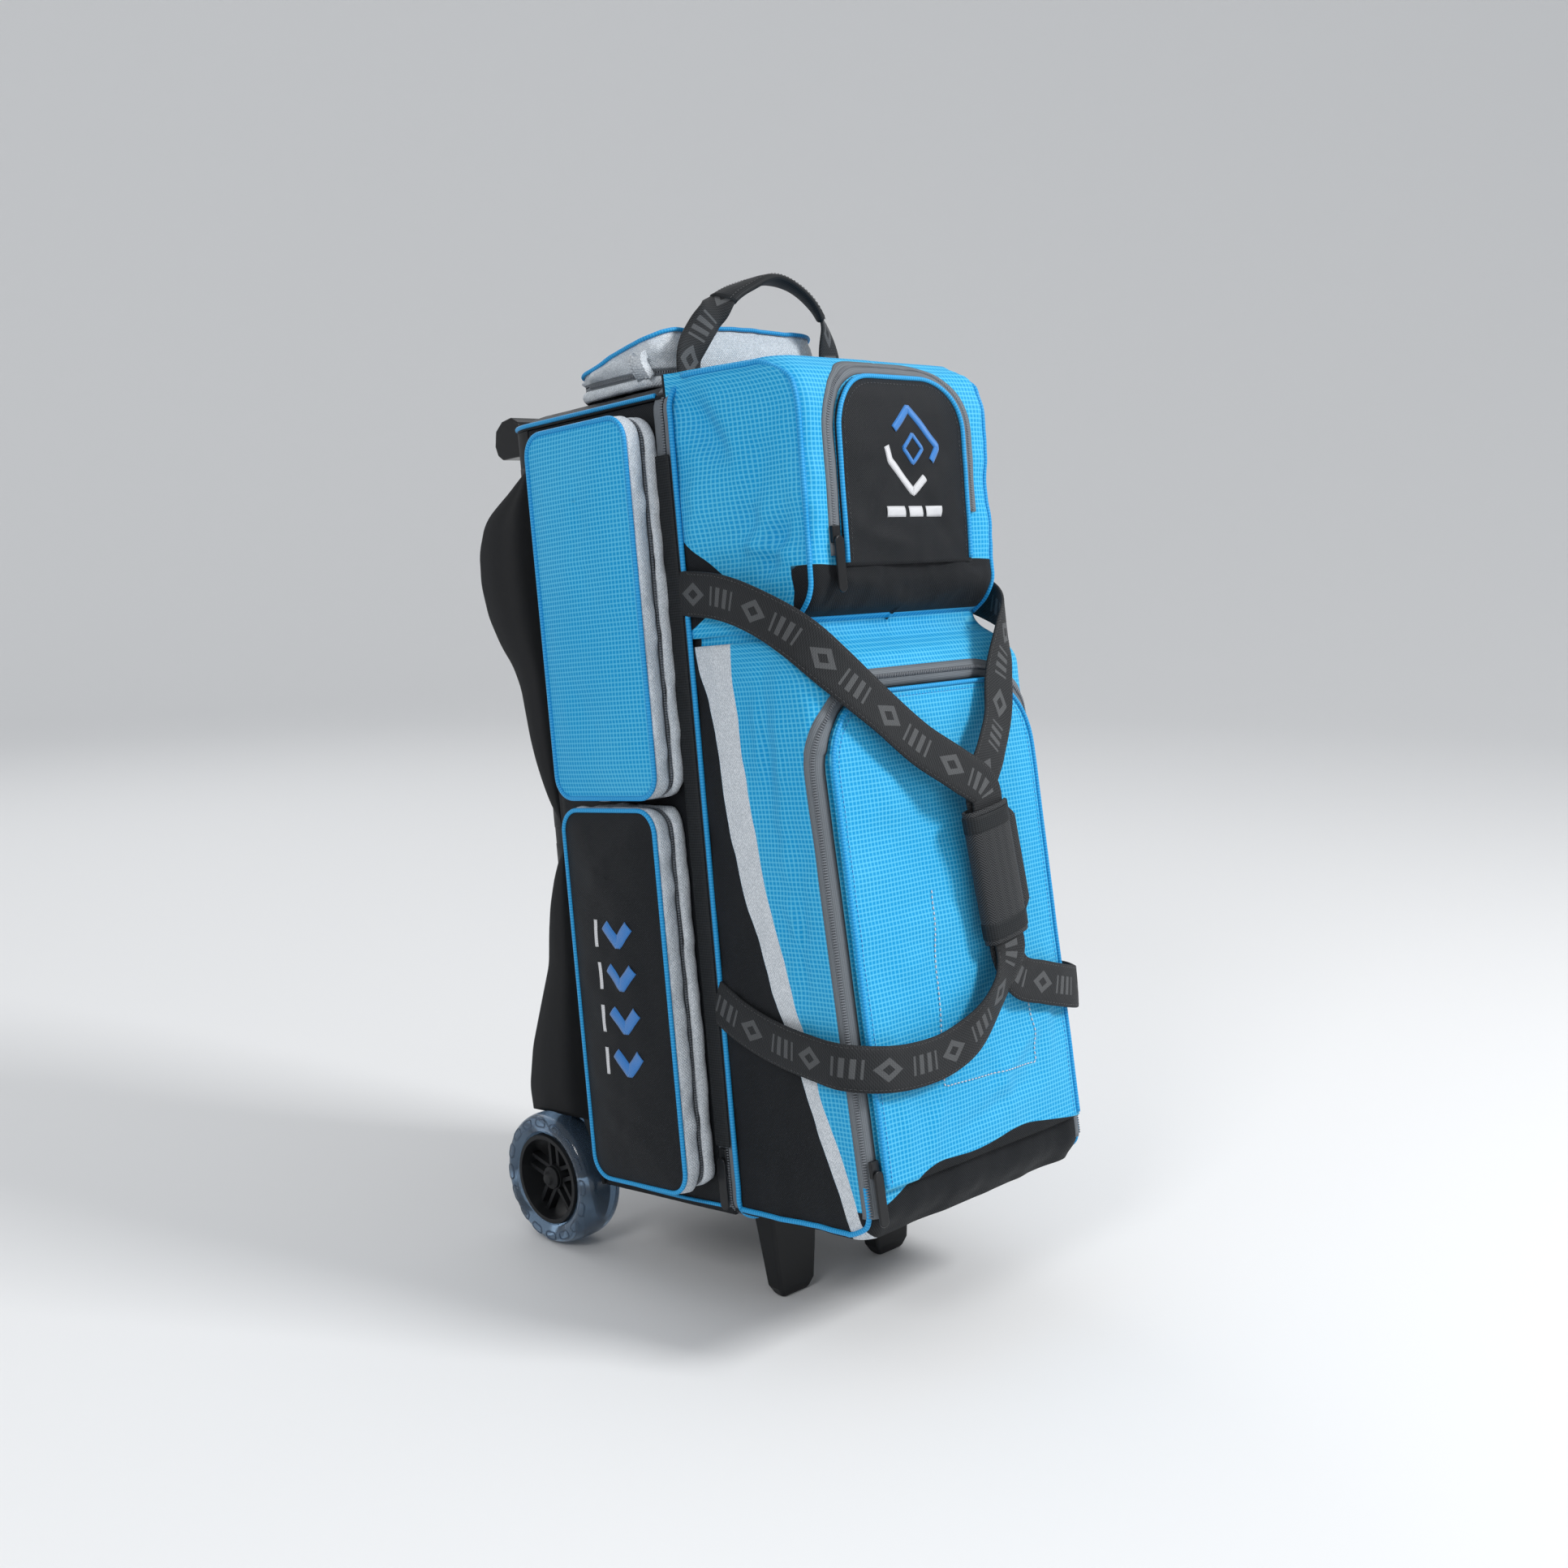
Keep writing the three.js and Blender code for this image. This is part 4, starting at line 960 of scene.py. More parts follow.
def archRoute(arch, grow, startZ, endZ, step=4.0):
    # Up the left side, over the arch and down the right side, in (s, z), a little outside its edge.
    half, top, corner = arch["halfWidth"] + grow, arch["top"] + grow, arch["corner"] + grow
    turn = np.linspace(0, math.pi / 2, 14)
    left = np.stack([-(half - corner) - corner * np.cos(turn), top - corner + corner * np.sin(turn)], 1)
    right = left[::-1] * np.array([-1, 1])
    dense = np.vstack([[[-half, startZ]], left, right, [[half, endZ]]])
    return evenRoute(np.hstack([dense, np.zeros((len(dense), 1))]), step)[:, :2]


def stripOn(cover, name, route, width, lift, finish, body, slot, profile=(0.2, 1, 1, 1, 0.2)):
    # A flat strip laid on a cover along a path in (s, z).
    direction = unit(np.gradient(route, axis=0))
    sideways = np.stack([-direction[:, 1], direction[:, 0]], 1)
    offsets = np.linspace(-width / 2, width / 2, len(profile))
    spots = route[:, None] + sideways[:, None] * offsets[None, :, None]
    points = cover.at(spots[..., 0], spots[..., 1], lift * np.array(profile)[None, :])
    along = np.concatenate([[0], np.cumsum(np.linalg.norm(np.diff(route, axis=0), axis=1))])
    uv = np.stack(np.broadcast_arrays(offsets[None, :], along[:, None]), -1)
    middle = points.reshape(-1, 3).mean(0) + np.array([0, 60, 0])
    piece = addMesh(name, points.reshape(-1, 3), gridFaces(len(route), len(profile)), finish, body, slot,
                    uv.reshape(-1, 2), behind=middle)
    return thicken(piece, 0.7)


def lineOn(cover, route, lift):
    return cover.at(route[:, 0], route[:, 1], lift), cover.facing(route[:, 0], route[:, 1])


upperArch = {"halfWidth": 80, "bottom": 547, "top": 704, "corner": 48}
lowerArch = {"halfWidth": 130, "bottom": 46, "top": 446, "corner": 64}
upperBox = {
    "levels": [(499, -106, 124, 14), (513, -130, 121, 14), (529, -143, 118, 14), (676, -145, 118, 15),
               (692, -143, 118, 16), (706, -137, 117, 18), (715, -127, 115, 20), (720, -112, 111, 22)],
    "bandTop": 549,
    "folds": [((-132, 690), (-118, 610), 16, -5.0), ((-128, 600), (-118, 560), 10, -6.0),
              ((-126, 640), (-116, 585), 7, 3.0), ((-137, 670), (-130, 560), 8, 2.0),
              ((-100, 528), (60, 520), 9, -5.0), ((-90, 540), (20, 512), 8, 4.0),
              ((30, 520), (110, 535), 9, 4.0)],
}
lowerBox = {
    "levels": [(4, -163, 138, 16), (20, -177, 142, 16), (462, -148, 140, 16), (482, -132, 134, 16),
               (492, -110, 130, 16)],
    "bandEdge": [(-142, 28), (-122, 32), (-73, 55), (-10, 51), (47, 59), (142, 43)],
    "stripeBack": [(9, -152), (218, -79), (319, -48), (422, -36), (501, -17)],
    "stripeFront": [(9, -166), (18, -165), (153, -119), (293, -84), (394, -68), (499, -60)],
}


def upperLift(x, y, z):
    s = np.where(y < -125, x, np.sign(x) * (118 + (y + 132)))
    middle = np.clip(1 - (x / 125) ** 2, 0, 1)
    belly = 4.0 * middle * np.sin(np.pi * np.clip((z - 499) / 221, 0, 1)) * (y < -120)
    sideBelly = 3.0 * (y > -130) * np.sin(np.pi * np.clip((y + 138) / 128, 0, 1)) * np.sin(
        np.pi * np.clip((z - 499) / 221, 0, 1))
    leftFolds = ridges(y, z, [((-20, 700), (-75, 640), 15, -5.5), ((-60, 700), (-95, 600), 13, 3.2),
                              ((-100, 640), (-70, 560), 12, -4.5), ((-118, 590), (-95, 545), 9, -5.5),
                              ((-125, 560), (-70, 575), 7, 3.2), ((-40, 640), (-30, 560), 12, 2.4)])
    frontFolds = ridges(x, z, upperBox["folds"]) * 0.5
    share = smoothStep(-138, -122, y)
    fine = crumple(s, z, 34, 3) * 2.8 + crumple(s + z * 0.6, z, 15, 9) * 1.0
    # The cloth lies flat under the zip.
    zipLine = np.exp(-((np.abs(x) - 88) / 13) ** 2) * (1 - share) * (z > 540)
    return (belly + sideBelly + leftFolds * 2.0 * share + frontFolds * 1.4 * (1 - share)
            + fine) * (1 - 0.9 * zipLine)


def lowerLift(x, y, z):
    onSide = smoothStep(-150, -128, y)
    middle = np.clip(1 - (x / 142) ** 2, 0, 1)
    belly = 5.0 * middle * np.sin(np.pi * np.clip((z - 4) / 488, 0, 1)) * (1 - onSide)
    sideBelly = 2.6 * onSide * np.sin(np.pi * np.clip((y + 150) / 142, 0, 1)) * np.sin(
        np.pi * np.clip((z - 4) / 488, 0, 1))
    sideFolds = ridges(y, z, [((-118, 470), (-112, 300), 6, 2.6), ((-100, 470), (-96, 340), 5, -2.6),
                              ((-128, 300), (-120, 200), 6, -2.6), ((-108, 280), (-128, 230), 5, 2.6),
                              ((-90, 440), (-88, 380), 5, 2.0), ((-136, 170), (-140, 70), 5, 1.8)])
    shoulder = ridges(x, z, [((-110, 478), (40, 470), 6, 4.0), ((-60, 464), (120, 474), 6, -4.0),
                             ((-120, 456), (-20, 466), 6, 2.8), ((-130, 440), (-100, 462), 7, 3.0)])
    fine = crumple(x + y, z, 40, 21) * 2.6 + crumple(x + y, z * 0.5, 14, 22) * 1.0 * onSide
    zipLine = smoothStep(116, 130, np.abs(x)) * (1 - onSide) * (z < 400)
    return (belly + sideBelly + sideFolds * 1.5 * onSide + shoulder * (1 - onSide)
            + fine) * (1 - 0.9 * zipLine)


upperCover = Cover(upperBox["levels"], 138, upperLift)
lowerCover = Cover(lowerBox["levels"], 138, lowerLift)


def softEdge(value, stops, spread):
    across, along = zip(*stops)
    return np.mean([np.interp(value + spread * k, across, along) for k in (-1, -0.6, -0.2, 0.2, 0.6, 1)],
                   axis=0)


def upperZones(points):
    x, y, z = points.T
    front = np.interp(z, [499, 529, 720], [-120, -124, -124])
    band = np.minimum(upperBox["bandTop"] + softNoise(x / 40, z * 0, 5) * 1.5 - z, front - y)
    patch = np.minimum(np.minimum((583 - z) - (-15 - y) * 0.865, (z - 505) - (-17 - y) * 0.66), y + 67)
    under = np.minimum(503 - z, -108 - y)
    wall = (y > seamY - 1.0) * 12.0 - 6.0
    black = np.maximum.reduce([band, np.where(z > 495, patch, -9), under, wall])
    return {"blackZone": black, "silverZone": np.full(len(z), -9.0)}


def lowerZones(points):
    x, y, z = points.T
    behindStripe = softEdge(z, lowerBox["stripeBack"], 30)
    aheadStripe = softEdge(z, lowerBox["stripeFront"], 30)
    onSide = np.abs(x) - 125
    silver = np.minimum.reduce([behindStripe - y, y - aheadStripe, onSide])
    black = np.maximum.reduce([np.minimum(y - behindStripe, onSide),
                               np.minimum(softEdge(x, lowerBox["bandEdge"], 16) - z, -150 - y), 8 - z,
                               (y > seamY - 1.0) * 12.0 - 6.0])
    return {"blackZone": black, "silverZone": silver}


upperCover.build("upperCompartmentCover", rowsBetween(499, 720, 3.4), 5.0, upperZones, "door", "blue_check",
                 archHalfWidth(upperArch, 11), ["upper_compartment"])
lowerCover.build("lowerCompartmentCover", rowsBetween(4, 492, 4.2), 4.0, lowerZones, "door", "blue_check",
                 None, ["lower_compartment"], (28, 7, 84))


def makeWaist():
    # The cloth that joins the two compartments lies in a shallow crease.
    shares = np.linspace(-0.997, 0.997, 150)
    low = lowerCover.at(shares * float(lowerCover.reach(486)), np.full(150, 486.0), -0.5)
    high = upperCover.at(shares * float(upperCover.reach(505)), np.full(150, 505.0), -0.5)
    rings = []
    for t in np.linspace(0, 1, 9):
        ring = low * (1 - t) + high * t
        outward = unit(ring * [1, 1, 0] - [0, -20, 0])
        rings.append(ring - outward * (3.2 * math.sin(math.pi * t) + 0.6))
    points = np.vstack(rings)
    side = np.where(np.abs(points[:, 0]) > 100, points[:, 1], points[:, 0])
    black = np.minimum(points[:, 1] + 24, 20)
    addedZones = {"blackZone": black, "silverZone": np.full(len(points), -9.0)}
    waist = addMesh("waistCloth", points, gridFaces(len(rings), 150), "coverCloth", "door", "blue_check",
                    np.stack([side, points[:, 2]], 1), addedZones, behind=(0, -20, 495))
    thicken(waist, 1.6)


makeWaist()
print("compartment covers ready")


# Flaps on the two compartments.
def flapSheet(name, cover, arch, lift, puff, finish, body, slot, zones, node, folds, seed):
    width = archHalfWidth(arch)
    rows = rowsBetween(arch["bottom"], arch["top"] - 0.4, 3.4)
    shares = np.linspace(-1, 1, 61)
    z = np.broadcast_to(rows[:, None], (len(rows), 61))
    x = shares[None, :] * width(rows)[:, None]
    inner = (1 - shares[None, :] ** 8) * np.sin(np.pi * np.clip((z - arch["bottom"]) / (
        arch["top"] - arch["bottom"]), 0.03, 0.97)) ** 0.35
    base = cover.sizes(z)[0] - 0.3
    height = lift + puff * inner * (1 - 0.5 * shares[None, :] ** 2) + ridges(x, z, folds) * inner + crumple(
        x, z, 36, seed) * 2.3 * inner
    y = base - height
    points = np.stack([x, y, z], -1)
    spots = np.stack([x, z], -1).reshape(-1, 2)
    flat = points.reshape(-1, 3)
    piece = addMesh(name, flat, gridFaces(len(rows), 61), finish, body, slot, spots,
                    zones(flat) if zones else None, behind=flat.mean(0) + np.array([0, 90, 0]),
                    second="lining")
    thicken(piece, 2.2, inner=1)
    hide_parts(node)

    def flapY(px, pz):
        share = np.clip(px / np.maximum(width(pz), 1), -1, 1)
        inside = (1 - share ** 8) * np.sin(np.pi * np.clip((pz - arch["bottom"]) / (
            arch["top"] - arch["bottom"]), 0.03, 0.97)) ** 0.35
        lifted = lift + puff * inside * (1 - 0.5 * share ** 2) + ridges(px, pz, folds) * inside + crumple(
            px, pz, 36, seed) * 2.3 * inside
        return cover.sizes(pz)[0] - 0.3 - lifted
    return flapY


def flapZones(points):
    x, z = points[:, 0], points[:, 2]
    return {"blackZone": softEdge(x, lowerBox["bandEdge"], 16) - z, "silverZone": np.full(len(z), -9.0)}


lowerFlapFolds = [((4, 340), (-8, 110), 26, 5.0), ((60, 430), (70, 240), 24, -3.0),
                  ((-90, 410), (-60, 330), 16, 3.5), ((20, 100), (95, 150), 9, 4.4),
                  ((-40, 70), (60, 92), 8, -3.8), ((88, 90), (110, 200), 9, 3.6),
                  ((-100, 120), (-95, 60), 9, 3.4), ((40, 60), (20, 130), 9, 3.2),
                  ((-50, 110), (-75, 60), 8, 3.2)]
upperFlapFolds = [((-60, 575), (10, 556), 7, 2.2), ((20, 600), (60, 556), 7, -2.0),
                  ((-20, 640), (-50, 560), 10, -1.6)]
lowerFlapY = flapSheet("lowerFlapPanel", lowerCover, lowerArch, 6.5, 5.0, "coverCloth", "door", "blue_check",
                       flapZones, "lower_flap", lowerFlapFolds, 31)
upperFlapY = flapSheet("upperFlapPanel", upperCover, upperArch, 3.2, 4.5, "blackNylon", "upper_flap",
                       "black_fabric", None, "upper_flap", upperFlapFolds, 41)
print("flaps ready")


# Panels of the ball compartment.
def roundedOutline(u0, u1, v0, v1, corner, step=3.6):
    turn = np.linspace(0, math.pi / 2, 10)
    arcs = [np.stack([cu + corner * np.cos(turn + start), cv + corner * np.sin(turn + start)], 1)
            for cu, cv, start in ((u1 - corner, v1 - corner, 0), (u0 + corner, v1 - corner, math.pi / 2),
                                  (u0 + corner, v0 + corner, math.pi),
                                  (u1 - corner, v0 + corner, 1.5 * math.pi))]
    dense = np.vstack(arcs + [arcs[0][:1]])
    points = evenRoute(np.hstack([dense, np.zeros((len(dense), 1))]), step, True)[:, :2]
    tangent = unit(np.roll(points, -1, 0) - np.roll(points, 1, 0))
    along = np.concatenate([[0], np.cumsum(np.linalg.norm(np.diff(points, axis=0), axis=1))])
    return points, np.stack([tangent[:, 1], -tangent[:, 0]], 1), along


def wrapCloth(piece, length):
    # Where a ring closes, the cloth's coordinates run on instead of jumping back.
    mesh = piece.data
    layer = mesh.uv_layers["cloth"].data
    uv = np.empty(len(mesh.loops) * 2)
    layer.foreach_get("uv", uv)
    uv = uv.reshape(-1, 2)
    starts = np.array([polygon.loop_start for polygon in mesh.polygons])
    span = np.maximum.reduceat(uv[:, 0], starts) - np.minimum.reduceat(uv[:, 0], starts)
    for index in np.nonzero(span > length / 2000)[0]:
        first = mesh.polygons[index].loop_start
        chosen = slice(first, first + mesh.polygons[index].loop_total)
        part = uv[chosen]
        part[part[:, 0] < length / 2000, 0] += length / 1000
    layer.foreach_set("uv", uv.ravel())
    return piece


def ringWall(name, rings, along, heights, finish, body, slot, behind, thickness=1.6):
    count = len(rings[0])
    uv = np.stack(np.broadcast_arrays(along[None, :], np.array(heights, float)[:, None]), -1).reshape(-1, 2)
    piece = addMesh(name, np.vstack(rings), gridFaces(len(rings), count, True), finish, body, slot, uv,
                    behind=behind)
    wrapCloth(piece, along[-1] + (along[-1] - along[-2]))
    return thicken(piece, thickness)


def closedMiddle(outline, first, longWay):
    # Triangles that close the long thin gap left in the middle, from one end to the other.
    count = len(outline)
    start, stop = int(np.argmax(outline[:, longWay])), int(np.argmin(outline[:, longWay]))
    one = [(start + i) % count for i in range((stop - start) % count + 1)]
    other = [(start - i) % count for i in range((start - stop) % count + 1)]
    i, j, faces = 0, 0, []
    while i < len(one) - 1 or j < len(other) - 1:
        nextOne = outline[one[i + 1], longWay] if i < len(one) - 1 else -1e9
        nextOther = outline[other[j + 1], longWay] if j < len(other) - 1 else -1e9
        if nextOne >= nextOther:
            corner = (one[i], one[i + 1], other[j])
            i += 1
        else:
            corner = (one[i], other[j + 1], other[j])
            j += 1
        if len(set(corner)) == 3:
            faces.append([first + k for k in corner])
    return faces


def padFace(name, outline, place, puff, spotOf, finish, body, slot, behind, zones=None, thickness=2.0,
            shares=(0, 0.03, 0.08, 0.16, 0.28, 0.42, 0.58, 0.74, 0.88, 0.97)):
    # A padded sheet inside an outline: rings close in towards the outline's long middle line.
    low, high = outline.min(0), outline.max(0)
    half = (high - low).min() / 2
    middle = np.clip(outline, low + half, high - half)
    rings = [place(middle + (outline - middle) * (1 - share), puff * (1 - (1 - share) ** 2.4))
             for share in shares]
    points = np.vstack(rings)
    faces = gridFaces(len(rings), len(outline), True)
    faces += closedMiddle(outline, (len(rings) - 1) * len(outline), int(np.argmax(high - low)))
    piece = addMesh(name, points, faces, finish, body, slot, spotOf(points), zones(points) if zones else None,
                    behind=behind, second="lining")
    thicken(piece, thickness, inner=1)
    return piece


def makeBodyPanels():
    for side, sign in sides.items():
        rows, columns = rowsBetween(0.5, 699.5, 6.0), np.linspace(seamY + 0.2, 180.4, 34)
        y, z = np.broadcast_arrays(columns[None, :], rows[:, None])
        puff = 0.9 * np.sin(np.pi * (z / 700)) ** 0.5 + crumple(y, z, 40, 71 + sign) * 0.5
        points = np.stack([sign * (137.6 + np.clip(puff, -0.5, 1.4)), y, z], -1).reshape(-1, 3)
        faces = gridFaces(len(rows), len(columns))
        fromAxle = np.hypot(*(points[:, 1:] - axlePlace[1:]).T)
        faces = [face for face in faces if fromAxle[face].min() > 72.3]
        panel = addMesh(f"sidePanelCloth.{side}", points, faces, "blackNylon", "chassis", "black_fabric",
                        points[:, 1:], behind=(0, 80, 350))
        thicken(panel, 3.2)
        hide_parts(f"side_panel_{side}")
        path = smoothRoute([(sign * 139.0, y, z) for y, z in ((4, 7), (60, 6), (120, 7), (166, 9))], 3)
        addPiping(f"bottomPiping.{side}", path, (sign, 0, 0), "chassis", 1.7)

    turn = np.linspace(0, math.pi / 2, 12)
    half, back, corner = shell["halfWidth"], shell["back"], shell["corner"]
    arc = np.stack([half - corner + corner * np.cos(turn), back - corner + corner * np.sin(turn)], 1)
    line = np.vstack([[[-half, seamY + 0.3]], [[half, seamY + 0.3]], arc, arc[::-1] * [-1, 1],
                      [[-half, seamY + 0.3]]])
    outline = evenRoute(np.hstack([line, np.zeros((len(line), 1))]), 7.0, True)[:, :2]

    def crownHeight(spots):
        x, y = spots.T
        edge = np.minimum(half - np.abs(x), back - y)
        inCorner = corner - np.hypot(np.maximum(np.abs(x) - half + corner, 0),
                                     np.maximum(y - back + corner, 0))
        edge = np.clip(np.minimum(edge, inCorner), 0, 60)
        crown = 12.4 * np.sin(np.clip(edge / 34, 0, 1) * math.pi / 2)
        return 703.6 + crown + crumple(x, y, 42, 77) * 0.7 * (edge > 3)

    wall = [np.column_stack([outline, np.full(len(outline), z)]) for z in (700.8, 702.2)]
    middle = outline.mean(0)
    rings = wall
    for share in (0, 0.02, 0.05, 0.1, 0.16, 0.24, 0.34, 0.46, 0.6, 0.74, 0.87, 0.96):
        spots = middle + (outline - middle) * (1 - share)
        rings.append(np.column_stack([spots, crownHeight(spots)]))
    points = np.vstack(rings)
    faces = gridFaces(len(rings), len(outline), True)
    faces += [[(len(rings) - 1) * len(outline) + i for i in range(len(outline))],
              list(range(len(outline)))[::-1]]
    top = addMesh("topPanelCloth", points, faces, "blackNylon", "chassis", "black_fabric", points[:, :2],
                  behind=(0, 80, 650))
    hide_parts("top_panel")
    edge = np.vstack([[[half, 2]], arc, arc[::-1] * [-1, 1], [[-half, 2]]])
    edge = evenRoute(np.hstack([edge, np.full((len(edge), 1), 704.4)]), 4.0)
    outward = np.column_stack([np.sign(edge[:, 0]), (edge[:, 1] > back - corner) * 0.6,
                               np.full(len(edge), 0.4)])
    addPiping("topPiping", edge, outward, "chassis", 2.0)


makeBodyPanels()
print("body panels ready")


# Fabric hinges: a thickened sheet baked in place, on no body of its own; start and end are not used.
def hingeCloth(name, grid, uvAxes, finish, slot, behind, thickness, start, end):
    columns = grid[1].shape[-1]
    points = np.stack(np.broadcast_arrays(*grid), -1)
    rows = points.shape[0]
    points = points.reshape(-1, 3)
    sheet = addMesh(name, points, gridFaces(rows, columns), finish, None, slot, points[:, uvAxes],
                    behind=behind)
    bakeModifiers(thicken(sheet, thickness))
    tuple(toRow(start))
    tuple(toRow(end))
    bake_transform(sheet)


# Side pockets: a gusset on the body, a zip line, and a padded lid.
pocketSizes = [
    {"name": "upper", "front": 4, "back": 138, "bottom": 368, "top": 688, "finish": "blueCheck",
     "slot": "blue_check", "seed": 101,
     "folds": [((40, 660), (60, 560), 12, 1.6), ((100, 470), (70, 420), 12, -1.8),
               ((30, 400), (100, 390), 9, 1.5)]},
    {"name": "lower", "front": 11, "back": 135, "bottom": 24, "top": 358, "finish": "blackNylon",
     "slot": "black_fabric", "seed": 121,
     "folds": [((40, 330), (100, 300), 10, 1.8), ((50, 60), (110, 90), 10, 1.6),
               ((30, 110), (34, 250), 8, -1.2)]},
]
pocketForm = {
    "corner": 20, "faceX": 173.6, "puff": 6.2, "hingeX": 155.45,
    "baseStrip": [(1.4, 138.8), (-0.6, 141), (-1.9, 145), (-1.7, 149), (0.2, 152.2), (1.4, 152.6)],
    "baseTape": [(2.0, 151.4), (1.5, 153.4), (1.8, 155.1)],
    "lidTape": [(1.8, 155.8), (1.5, 157.4), (2.0, 159.2)],
    "lidStrip": [(1.6, 157.6), (-0.6, 158.3), (-2.0, 161.5), (-2.2, 166), (-1.4, 170.5), (0.6, 173.4)],
}


def pocketFolds(pocket, sign, y, z):
    return ridges(y, z, pocket["folds"]) + crumple(y, z, 30, pocket["seed"] + 5 + sign) * 1.9


def pocketFaceX(pocket, sign, y, z):
    # The face's own crown, worked out from how far a spot lies inside the outline.
    half = (pocket["back"] - pocket["front"]) / 2
    inside = np.clip(np.minimum(half - np.abs(y - pocket["front"] - half),
                                np.minimum(z - pocket["bottom"], pocket["top"] - z)) / half, 0, 1)
    share = 1 - (1 - inside) ** 2.4
    return pocketForm["faceX"] + 0.6 + pocketForm["puff"] * share + pocketFolds(pocket, sign, y, z) * share


def makeSidePocket(pocket, side, sign):
    name, corner = pocket["name"], pocketForm["corner"]
    outline, normal, along = roundedOutline(pocket["front"], pocket["back"], pocket["bottom"],
                                            pocket["top"], corner)
    label = f"{name}Pocket.{side}"
    chassisNode, lidNode = f"{name}_pocket_{side}", f"{name}_pocket_lid_{side}"
    lidBody = f"{name}_pocket_lid_{side}"
    middle = np.array([sign * 120, (pocket["front"] + pocket["back"]) / 2,
                       (pocket["bottom"] + pocket["top"]) / 2])

    def rings(profile, wrinkle):
        made = []
        for inset, x in profile:
            wave = crumple(along, np.full(len(along), x * 1.6), 16, pocket["seed"] + sign) * wrinkle
            spots = outline + normal * (wave - inset)[:, None]
            made.append(np.column_stack([np.full(len(along), sign * x), spots]))
        return made

    for part, body, finish, slot, wrinkle in (
            ("baseStrip", "chassis", "silverCloth", "silver_fabric", 1.9),
            ("baseTape", "chassis", "zipTape", "zip_metal", 0),
            ("lidTape", lidBody, "zipTape", "zip_metal", 0),
            ("lidStrip", lidBody, "silverCloth", "silver_fabric", 2.1)):
        profile = pocketForm[part]
        wall = ringWall(f"{label}.{part}", rings(profile, wrinkle), along, [x for _, x in profile], finish,
                        body, slot,
                        middle, 1.2 if part.endswith("Strip") else 0.8)
        if part == "baseStrip":
            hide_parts(chassisNode)

    def place(spots, height):
        folds = pocketFolds(pocket, sign, spots[:, 0], spots[:, 1])
        share = np.clip(height / pocketForm["puff"], 0, 1)
        return np.column_stack([sign * (pocketForm["faceX"] + 0.6 + height + folds * share), spots])

    face = padFace(f"{label}.face", outline - normal * 0.9, place, pocketForm["puff"], lambda p: p[:, 1:],
                   pocket["finish"], lidBody, pocket["slot"], middle)
    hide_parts(lidNode)
    edge = outline - normal * 0.2
    addPiping(f"{label}.piping", np.column_stack([np.full(len(edge), sign * 174.3), edge]),
              (sign, 0, 0), lidBody, 2.1, closed=True)
    zipEnd = pocket["back"] - corner + 2
    zipped = np.nonzero(outline[:, 0] < zipEnd)[0]
    first = zipped[np.argmax(np.diff(zipped, prepend=zipped[-1] - len(outline)))]
    order = [i for i in np.roll(np.arange(len(outline)), -int(first)) if outline[i, 0] < zipEnd]
    route = np.column_stack([np.full(len(order), sign * 154.6), outline[order] - normal[order] * 0.6])
    facing = np.column_stack([np.zeros(len(order)), normal[order]])
    repeatAlong(f"{label}.teeth", [route], [facing], 2.2, (1.4, 3.4, 1.5), "coilPlastic", "chassis",
                "zip_metal")

    # The fabric hinge at the pocket's back edge, between the body and the lid.
    z = rowsBetween(pocket["bottom"] + 22, pocket["top"] - 22, 12)
    x = np.linspace(148, 163, 11)
    bulge = pocket["back"] + 2.2 + 0.9 * np.sin(np.linspace(0, math.pi, 11))
    axis = pocketForm["hingeX"] * sign
    hingeCloth(f"{label}.hinge", (sign * x[None, :], bulge[None, :], z[:, None]), [0, 2], "silverCloth",
               "silver_fabric", middle, 0.9,
               (axis - sign * 5, pocket["back"], middle[2]), (axis + sign * 5, pocket["back"], middle[2]))


for pocket in pocketSizes:
    for side, sign in sides.items():
        makeSidePocket(pocket, side, sign)
print("side pockets ready")


# Top pocket: a wedge of crumpled silver cloth.
topPocket = {"left": -112, "right": 92, "front": 26, "back": 142, "corner": 24, "frontTop": 769.5,
             "backTop": 746.5}


